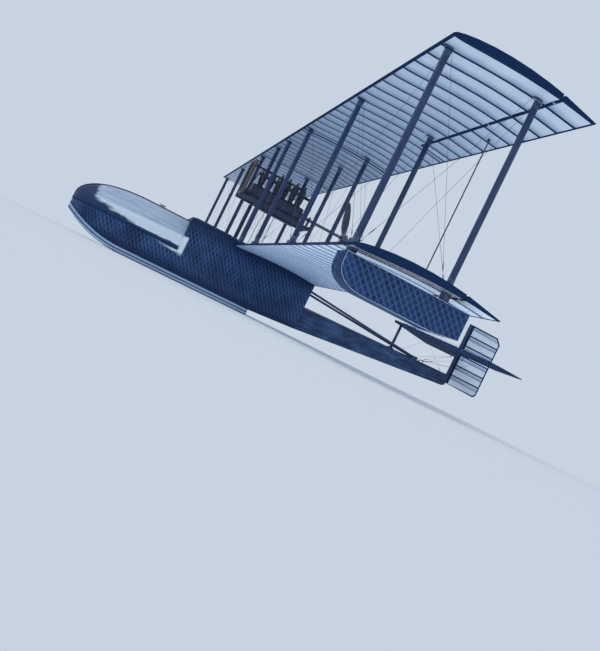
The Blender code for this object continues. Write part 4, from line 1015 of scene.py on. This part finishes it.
def dress_cylinders():
    """Jacket bands, valve springs, spark plugs with their leads and priming cups."""
    hoops = [band((0, FIRST_CYLINDER_Y, z), UP, 0.0555, 0.003, 1.7) for z in (2.122, 2.2, 2.278)]
    settle(per_cylinder(join(hoops)), "jacket_bands", COPPER)
    coils = [
        band((-0.036, FIRST_CYLINDER_Y, HEAD_Z - 0.004 + 0.009 * k), (0.12, 0, 1), 0.0135, 0.0021, 1, 12)
        for k in range(5)
    ]
    settle(per_cylinder(join(coils)), "valve_springs", STEEL)
    foot, lean = Vector((-0.043, FIRST_CYLINDER_Y + 0.03, HEAD_Z - 0.026)), Vector((-0.55, 0, 0.83))
    shell = turned(
        foot, lean, (0, 0.016, 0.01, 6, 0.0015), (0.016, 0.024, 0.0075, 12), (0.046, 0.054, 0.003, 8),
    )
    settle(per_cylinder(join(shell)), "spark_plugs", STEEL)
    cone, = turned(foot, lean, (0.023, 0.047, 0.0062, 12, 0, 0.0038))
    settle(per_cylinder(cone), "plug_insulators", PORCELAIN)
    rail_x, rail_z, front, back = -0.098, HEAD_Z + 0.002, FIRST_CYLINDER_Y - 0.03, FIRST_CYLINDER_Y + 0.77
    bend = foot + lean * 0.067 + Vector((-0.006, 0, -0.001))
    lead = [foot + lean * 0.053, bend, bend + Vector((-0.012, 0, -0.012)), (rail_x, foot.y, rail_z)]
    down = [(rail_x, front, rail_z), (rail_x, -1.46, 2.3), (-0.105, -1.49, 2.15), (-0.105, -1.54, 1.92)]
    leads = [
        moulding([(rail_x, front, rail_z), (rail_x, back, rail_z)], 0.0075),
        per_cylinder(moulding(lead, 0.0028)), moulding(down, 0.007),
    ]
    settle(leads, "ignition_leads", LEATHER)
    foot, out = Vector((0.044, FIRST_CYLINDER_Y - 0.028, HEAD_Z - 0.028)), Vector((0.45, 0, 0.89))
    cup = turned(foot, out, (0, 0.02, 0.004, 8), (0.02, 0.032, 0.004, 10, 0, 0.008))
    cup += turned(foot + out * 0.012, AFT, (-0.012, 0.012, 0.0022, 6))
    settle(per_cylinder(join(cup)), "priming_cups", BRASS)


def dress_crankcase():
    """Studs along the bearer flange, cover plates, pump hoses, carburettor bands and fuel pipe."""
    studs = [row(bolt((x, -1.46, BEARER_Z + 0.0226), UP, 0.008), AFT * 0.125, 8) for x in (0.168, -0.168)]
    plates = []
    for side in (1, -1):
        for y in (-1.3, -1.02, -0.74):
            x = side * 0.133
            plates.append(block((x - 0.005, y - 0.075, 1.885), (x + 0.005, y + 0.075, 1.985), 0.004))
            corners = [(side * 0.138, y + shift, z) for shift in (-0.062, 0.062) for z in (1.897, 1.973)]
            studs += [bolt(corner, ACROSS * side, 0.0045) for corner in corners]
    settle(plates, "crankcase_covers", IRON)
    settle(studs, "crankcase_studs", STEEL)
    y = FIRST_CYLINDER_Y + CYLINDER_PITCH * 2.5
    brass = turned((0.118, y, 1.998), UP, (0, 0.024, 0.009, 6, 0.001))
    brass += turned((0.15, y, 2.06), ACROSS, (0, 0.046, 0.021, 16, 0, 0.029))
    brass += [band((0.118, y, z), UP, radius, 0.004, 1.6) for z, radius in ((2.095, 0.04), (2.026, 0.038))]
    brass += [band((x, -1.545, 1.8653), AFT, 0.0455, 0.003, 2.2) for x in (0.105, -0.105)]
    settle(brass, "carburettor_brass", BRASS)
    pipe = [
        (0.118, y, 2), (0.118, y, 1.978), (0.15, y - 0.02, 1.965), (0.212, y - 0.04, 1.95),
        (0.222, y - 0.06, 1.9), (0.222, y - 0.1, 1.76), (0.215, y - 0.14, 1.5), (0.215, y - 0.15, 1.075),
    ]
    settle(moulding(pipe, 0.005, sides=12), "fuel_pipe", COPPER, angle=60)
    hoses = [
        bar((0, -1.5992, HEAD_Z - 0.005), (0, -1.515, HEAD_Z - 0.005), 0.0225, 16, 0.003),
        bar((0.085, -1.5992, 1.865), (0.085, -1.578, 1.865), 0.022, 16, 0.003),
    ]
    settle(hoses, "water_hoses", LEATHER)
    clamps = [band((0, y, HEAD_Z - 0.005), AFT, 0.0232, 0.0018, 2.4) for y in (-1.585, -1.528)]
    settle(clamps, "hose_clamps", STEEL)


def dress_radiator():
    """Radiator with raised tanks, a sunk core of fins and tubes, and its cap."""
    low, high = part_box("radiator")
    top = high.z - 0.035
    case = from_node("radiator", BRASS)
    inset(case, lambda place, normal: abs(normal.y) > 0.9 and place.z < top, (0.022, -0.007))
    soften(case, 0.003)
    x0, x1, z0, z1 = low.x + 0.024, high.x - 0.024, low.z + 0.024, top - 0.024
    fins, tubes = 30, 34
    pitch, rise = (x1 - x0) / fins, (z1 - z0) / tubes
    x, z = x0 + pitch / 2, z0 + rise / 2
    core = []
    for y in (low.y + 0.0035, high.y - 0.0035):
        fin = block((x - 0.0011, y - 0.0035, z0), (x + 0.0011, y + 0.0035, z1), 0.0004, 1)
        tube = block((x0, y - 0.0022, z - 0.0016), (x1, y + 0.0022, z + 0.0016), 0.0006, 1)
        core += [row(fin, ACROSS * pitch, fins), row(tube, UP * rise, tubes)]
    settle(core, "radiator_core", BURNT)
    cap = Vector((0, (low.y + high.y) / 2, high.z))
    trim = [
        band(cap - UP * 0.008, UP, 0.0285, 0.003, 1.8),
        block(cap - Vector((0.022, 0.004, 0.001)), cap + Vector((0.022, 0.004, 0.01)), 0.003),
    ]
    out = Vector((0.002, 0.002, 0))
    for z in (top - 0.07, low.z + 0.048):
        trim.append(block((*(low - out).xy, z), (*(high + out).xy, z + 0.008), 0.002))
    settle([case] + trim, "radiator_case", BRASS, node="radiator")


def dress_exhaust():
    """Exhaust with a hollow tail, and a clamp at each stub."""
    pipe = from_node("exhaust_manifold", BURNT)
    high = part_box("exhaust_manifold")[1]
    inset(
        pipe, lambda place, normal: normal.y > 0.9 and place.y > high.y - 0.001, (0.003, 0), (0.001, -0.12),
    )
    clamp = band((high.x - 0.01, FIRST_CYLINDER_Y, 2.255), ACROSS, 0.0185, 0.003, 2, 16)
    rim = band((high.x - 0.06, high.y - 0.003, 2.255), AFT, 0.0265, 0.0022, 1.5)
    settle([pipe, per_cylinder(clamp), rim], "exhaust_pipe", BURNT, node="exhaust_manifold")


def dress_propeller():
    """Propeller with rounded hub, metal-sheathed tips and a bolted hub plate."""
    piece = from_node("propeller", WALNUT)
    blade = heading(135)
    edit(piece)
    for reach in (SHEATH_REACH, -SHEATH_REACH):
        cut(SHAFT + blade * reach, blade)

    def is_tip(place, normal):
        return abs((place - SHAFT).dot(blade)) > SHEATH_REACH

    def is_hub_plate(place, normal):
        return (place - SHAFT).xz.length < 0.062 and not 0.27 <= place.y <= 0.366

    paint(piece, BRASS, is_tip, 0.0007)
    paint(piece, STEEL, is_hub_plate)
    settle(piece, "propeller_wood", body="propeller", angle=40, node="propeller")
    metal = [bolt(SHAFT + AFT * 0.0652 + heading(22.5 + 45 * i) * 0.048, AFT, 0.0065) for i in range(8)]
    metal += turned(SHAFT, AFT, (0.08, 0.102, 0.033, 6, 0.003))
    metal += [band(SHAFT + AFT * shift, AFT, 0.0845, 0.003, 2, 32) for shift in (-0.0415, 0.0415)]
    settle(metal, "propeller_bolts", STEEL, "propeller")


def wire(start, end):
    """Taut wire with a turnbuckle near its lower end and an eye at each end, in parts."""
    start, end = Vector(start), Vector(end)
    length = (end - start).length
    return turned(
        start, (end - start).normalized(), (0, length, 0.0016, 6),
        (0.1, 0.145, 0.003, 8, 0, 0.0058), (0.145, 0.19, 0.0058, 8, 0, 0.003),
        (-0.012, 0.022, 0.0055, 8, 0.001), (length - 0.012, length + 0.022, 0.0055, 8, 0.001),
    )


def add_bracing():
    """Bracing between the struts, front to back and bay to bay, and the tail's wires."""
    parts = []
    front, back = FRONT_STRUT_Y + 0.045, REAR_STRUT_Y - 0.055
    for side in (1, -1):
        for y, low, high in ((FRONT_STRUT_Y, 0.98, 2.858), (REAR_STRUT_Y, 1.012, 2.9)):
            for inner, outer in zip((CENTRE_STRUT_X,) + STRUT_X, STRUT_X):
                base = 1.035 if inner == CENTRE_STRUT_X else low
                near, far, top = side * (inner + 0.03), side * (outer - 0.03), high - 0.015
                parts += wire((near + side * 0.01, y + 0.012, base + 0.02), (far, y + 0.012, top))
                parts += wire((far, y - 0.012, low + 0.015), (near, y - 0.012, top))
        for x in STRUT_X:
            parts += wire((side * x + 0.006, front, 1.02), (side * x + 0.006, back, 2.875))
            parts += wire((side * x - 0.006, back, 1.05), (side * x - 0.006, front, 2.835))
        parts += wire((side * 0.176, 2.02, 0.46), (side * 1, 2.98, 1.063))
        parts += wire((side * 0.06, 3.12, 0.62), (side * 1.12, 3.16, 1.063))
        parts += wire((side * 1.12, 3.16, 1.098), (side * 0.022, 3.235, 1.63))
    settle(parts, "bracing_wires", STEEL)


def refine_wood():
    """Wood pieces and the control column with their edges rounded."""
    for node, name, finish, width in (
        ("engine_frame", "engine_bearers", ASH, 0.004), ("bench_seat", "bench", BENCH_WOOD, 0.005),
        ("cockpit_floor", "floor_boards", ASH, 0.002), ("rudder_post", "stern_post", SPRUCE, 0.004),
        ("tail_brace_port", "brace_port", SPRUCE, 0.002),
        ("tail_brace_starboard", "brace_starboard", SPRUCE, 0.002),
        ("cockpit_controls", "control_column", STEEL, 0.002),
    ):
        settle(from_node(node, finish, width, 40), name, angle=40, node=node)


def fill_pad(pad):
    """Fill a pad by a cloth simulation, with no point moving further than its swell."""
    modify(pad, "REMESH", mode="VOXEL", voxel_size=PAD_VOXEL)
    before = [corner.co.copy() for corner in pad.data.vertices]
    floor_z = min(place.z for place in before)
    pins = pad.vertex_groups.new(name="pins")
    pins.add([i for i, place in enumerate(before) if place.z < floor_z + PAD_VOXEL * 0.6], 1, "REPLACE")
    cloth = pad.modifiers.new("cloth", "CLOTH")
    cloth.settings.use_pressure = True
    cloth.settings.uniform_pressure_force = PAD_PRESSURE
    cloth.settings.effector_weights.gravity = 0
    cloth.settings.vertex_group_mass = "pins"
    cloth.settings.quality = 4
    cloth.point_cache.frame_end = PAD_FRAMES
    for number in range(1, PAD_FRAMES + 1):
        bpy.context.scene.frame_set(number)
    bpy.ops.object.modifier_apply(modifier=cloth.name)
    bpy.context.scene.frame_set(1)
    for corner, place in zip(pad.data.vertices, before):
        move = corner.co - place
        if move.length > PAD_SWELL:
            corner.co = place + move * (PAD_SWELL / move.length)
    pad.vertex_groups.clear()
    smooth(pad)


def add_seat_pads():
    """Two stuffed hide seat pads with sewn channels and a welt, side by side on the bench."""
    low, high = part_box("seat_cushion")
    middle, top, back = 0.204, high.z - 0.03, -1.575
    pad = block((0.006, low.y + 0.006, low.z + 0.0002), (0.402, -1.556, high.z - 0.019), 0.02, 3)
    fill_pad(pad)
    seams = [middle + PAD_CHANNEL * k for k in (-2, -1, 0, 1, 2)]
    for corner in pad.data.vertices:
        place = corner.co
        if place.z > top:
            dip = max(math.exp(-(((place.x - seam) / 0.0062) ** 2)) for seam in seams)
            ends = min(1, max(0, (place.y - low.y - 0.022) / 0.02), max(0, (back - place.y) / 0.02))
            place.z -= 0.0085 * dip * ends
        welt = math.exp(-(((place.z - top) / 0.0035) ** 2))
        if abs(corner.normal.z) < 0.75:
            place.xy += corner.normal.xy * 0.0032 * welt
    for piece, side in ((pad, "port"), (copy_at(pad, ACROSS * -middle * 2), "starboard")):
        settle(piece, f"seat_pad_{side}", LEATHER, angle=180, node="seat_cushion")
    buttons = []
    for x in tape_edges((-middle, middle), PAD_CHANNEL):
        for y in PAD_BUTTON_Y:
            buttons += turned((x, y, high.z - 0.0175), UP, (0, 0.005, 0.008, 16, 0.002))
    settle(buttons, "seat_buttons", BRASS)


def add_coaming_roll():
    """Stuffed hide roll laced round the edge of the cockpit opening."""
    x, front, back = ROLL_HALF - ROLL_CORNER, ROLL_FRONT_Y + ROLL_CORNER, ROLL_BACK_Y - ROLL_CORNER
    line = [
        Vector((*corner, ROLL_Z)) + heading(start + 15 * k, ACROSS, AFT) * ROLL_CORNER
        for corner, start in (((x, back), 0), ((-x, back), 90), ((-x, front), 180), ((x, front), 270))
        for k in range(7)
    ]
    points, widths, laces = [], [], []
    walked = 0
    for place, after in zip(line, line[1:] + line[:1]):
        length = (after - place).length
        count = max(1, round(length / 0.008))
        for k in range(count):
            reach = walked + length * k / count
            pinch = math.cos(math.pi * reach / LACE_PITCH) ** 12
            points.append(place.lerp(after, k / count))
            widths.append(1 - 0.17 * pinch + 0.03 * math.sin(reach * 19))
            if pinch > 0.93 and (not laces or (points[-1] - laces[-1][0]).length > LACE_PITCH * 0.5):
                laces.append((points[-1], after - place))
        walked += length
    roll = moulding(points, 0.0165, 16, True, widths)
    smooth(roll)
    settle(roll, "coaming_roll", LEATHER, angle=180)
    cords = [band(spot, along, 0.015, 0.0016, 1, 14) for spot, along in laces]
    settle(cords, "coaming_lacing", TAPE, angle=60)


def add_control_wheel():
    """Walnut control wheel with brass spokes and hub on the head of the column."""
    hub, axis = Vector((0, -2.032, 0.789)), Vector((0, 0.88, 0.47)).normalized()
    rim = band(hub, axis, 0.15, 0.0125, 1, 48)
    smooth(rim)
    settle(rim, "rim", WALNUT, angle=180)
    metal = turned(hub, axis, (-0.02, 0.014, 0.03, 24, 0.004), (0.013, 0.026, 0.012, 6, 0.002))
    for degrees in (90, 210, 330):
        way = heading(degrees, ACROSS, axis.cross(ACROSS))
        metal += turned(hub, way, (0.022, 0.146, 0.0085, 12, 0, 0.0055), (0.128, 0.142, 0.0095, 12, 0.002))
    settle(metal, "wheel_spokes", BRASS)


def add_dash():
    """Three gauges on the cockpit frame, with brass bezels, pale dials, plain ticks and needles."""
    cases, dials, marks = [], [], []
    for x, lean in ((-0.12, 34.38), (0, -22.92), (0.12, 131.78)):
        centre = Vector((x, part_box("cockpit_frame")[1].y, GAUGE_Z))
        cases += turned(centre, AFT, (-0.001, 0.022, 0.034, 28, 0.003))
        inset(cases[-1], lambda place, normal: normal.y > 0.95, (0.004, 0), (0.0006, -0.006))
        dials += turned(centre, AFT, (0.014, 0.0163, 0.0268, 28, 0.0006))
        face = centre + AFT * 0.0168
        for k in range(9):
            marks += turned(face, heading(-45 + 33.75 * k), (0.02, 0.025, 0.0006, 4))
        marks += turned(face, heading(lean), (-0.006, 0.019, 0.0013, 4, 0, 0.0004))
    settle(cases, "gauge_cases", BRASS)
    settle(dials, "gauge_dials", PORCELAIN)
    settle(marks, "gauge_needles", BURNT)


def add_cockpit_floor():
    """Floor slats, grips on the foot bar, a hide boot at the column and a lever quadrant on the wall."""
    slats = [
        block((side * x - half, -2.92, 0.0745), (side * x + half, -1.925, 0.084), 0.003)
        for side in (1, -1) for x, half in ((0.105, 0.04), (0.21, 0.045), (0.315, 0.045))
    ]
    settle(slats, "floor_slats", ASH)
    hide = []
    for side in (1, -1):
        grip = Vector((side * 0.195, -2.66, 0.185))
        hide += turned(grip, ACROSS * side, (0, 0.13, 0.021, 16, 0.005))
        ribs = [grip + ACROSS * side * (0.017 + 0.024 * k) for k in range(5)]
        hide += [band(rib, ACROSS, 0.0205, 0.0022, 1.4, 16) for rib in ribs]
    foot, along = Vector((0, -2.156, 0.094)), Vector((0, 0.158, 0.987))
    hide += turned(foot, along, (0, 0.085, 0.046, 20, 0.004, 0.017))
    hide += [band(foot + along * (0.01 + 0.016 * k), along, 0.0435 - 0.0055 * k, 0.0045) for k in range(5)]
    settle(hide, "foot_grips_and_boot", LEATHER)
    pivot = Vector((-0.4505, -1.86, 0.8))
    levers = turned(pivot, ACROSS, (0, 0.009, 0.062, 36, 0.002))
    edit(levers[0])
    cut(pivot - UP * 0.012, UP, clear_inner=True, use_fill=True)
    pin = pivot + Vector((0.01, 0, 0.004))
    for way, reach in ((Vector((0.1, -0.42, 0.9)), 0.105), (Vector((0.22, 0.3, 0.93)), 0.12)):
        knob = (reach - 0.004, reach + 0.018, 0.0095, 16, 0.004)
        levers += turned(pin, way, (0, reach, 0.0042, 8, 0, 0.003), knob)
    settle(levers + [bolt(pin, ACROSS, 0.007)], "lever_quadrant", BRASS)


def add_deck_fittings():
    """Mooring cleat on the bow, hatch and filler on the deck aft, and screws along the upper strip."""
    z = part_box("bow_deck")[1].z
    metal = [block((-0.02, -2.695, z - 0.002), (0.02, -2.625, z + 0.008), 0.003)]
    for way in (1, -1):
        metal += turned((0, -2.66 + 0.02 * way, z), UP, (0, 0.024, 0.008, 12, 0, 0.007))
        ends = (0, -2.66 - 0.002 * way, z + 0.026), (0, -2.66 + 0.06 * way, z + 0.03)
        metal.append(bar(*ends, 0.0095, 12, 0.003, 0.005))
    metal += [bolt((x, y, z), UP, 0.005) for x in (-0.036, 0.036) for y in (-2.705, -2.615)]
    settle(metal, "mooring_cleat", STEEL)
    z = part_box("rear_deck")[1].z
    lid = block((-0.135, -0.98, z - 0.016), (0.135, -0.62, z + 0.007), 0.005)
    inset(lid, lambda place, normal: normal.z > 0.95, (0.02, 0), (0.004, -0.003))
    settle(lid, "hatch", PLANKS)
    brass = turned((0, -0.2, z), UP, (-0.012, 0.016, 0.038, 28, 0.004)) + [
        band((0, -0.2, z + 0.004), UP, 0.0385, 0.003, 1.8, 28),
        block((-0.026, -0.204, z + 0.014), (0.026, -0.196, z + 0.026), 0.003),
        band((0, -0.7, z + 0.006), (0, 0.25, 1), 0.016, 0.0022),
    ]
    brass += [bolt((x, y, z + 0.0065), UP, 0.0045) for x in (-0.123, 0.123) for y in (-0.968, -0.632)]
    settle(brass, "deck_brass", BRASS)
    rows = []
    for side in (1, -1):
        first = (side * (HULL_HALF + 0.0045), -2.06, SHEER_Z - 0.012)
        rows.append(row(*turned(first, ACROSS * side, (0, 0.0016, 0.0052, 10, 0.0006)), AFT * 0.152, 15))
    settle(rows, "strip_screws", STEEL)


def add_horn(name, body, middle, way):
    """Tapered control horn through a hinged surface, with an eye at each end."""
    middle = Vector(middle)
    parts = [band(middle, way, 0.013, 0.004, 1, 16)]
    for side in (way, -way):
        parts += turned(middle, side, (0, HORN_REACH, 0.0095, 10, 0, 0.0045))
        parts += turned(middle + side * HORN_REACH, AFT, (-0.008, 0.008, 0.0065, 10, 0.0015))
    settle(parts, name, STEEL, body)


def add_control_lines():
    """Horns on the rudder and elevators, and the lines from the hull that work them."""
    fairleads = []
    thick, thin = (-0.035, 0.008, 0.007, 10, 0.002), (-0.038, 0.006, 0.006, 10, 0.002)
    add_horn("rudder_horn", "rudder", (0, 3.296, 0.8), ACROSS)
    for way, side in zip((1, -1), SIDES):
        elevator = f"elevator_{side}"
        add_horn(f"elevator_horn_{side}", elevator, (way * 0.24, 3.248, 1.08), UP)
        for kind, body, start, end, tube in (
            ("rudder_line", "rudder", (0.075, 2.56, 0.64), (0.11, 3.296, 0.8), thick),
            ("elevator_line_upper", elevator, (0.055, 2.06, 1.118), (0.24, 3.248, 1.19), thin),
            ("elevator_line_lower", elevator, (0.085, 2.64, 0.65), (0.24, 3.248, 0.97), thin),
        ):
            start, end = (Vector((way * x, y, z)) for x, y, z in (start, end))
            fairleads += turned(start, UP, tube)
            settle(wire(start, end), f"{kind}_{side}", STEEL, bend=(body, start, end))
    settle(fairleads, "line_fairleads", STEEL)


def finish_nodes():
    """Finish the CAD nodes that stay visible; pieces stand for all the others."""
    give(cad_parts["engine"], IRON)
    for side in SIDES:
        give(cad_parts[f"aileron_link_{side}"], STEEL)


make_camera()
make_stage()
finish_nodes()
cover_wings()
refine_hull()
add_strips()
refine_floats()
refine_struts()
cover_tail("stabiliser", "airframe", 0.009)
cover_tail("elevator_port", "elevator_port", 0.0015)
cover_tail("elevator_starboard", "elevator_starboard", 0.0015)
cover_rudder()
dress_cylinders()
dress_crankcase()
dress_radiator()
dress_exhaust()
dress_propeller()
add_bracing()
refine_wood()
add_seat_pads()
add_coaming_roll()
add_control_wheel()
add_dash()
add_cockpit_floor()
add_deck_fittings()
add_control_lines()
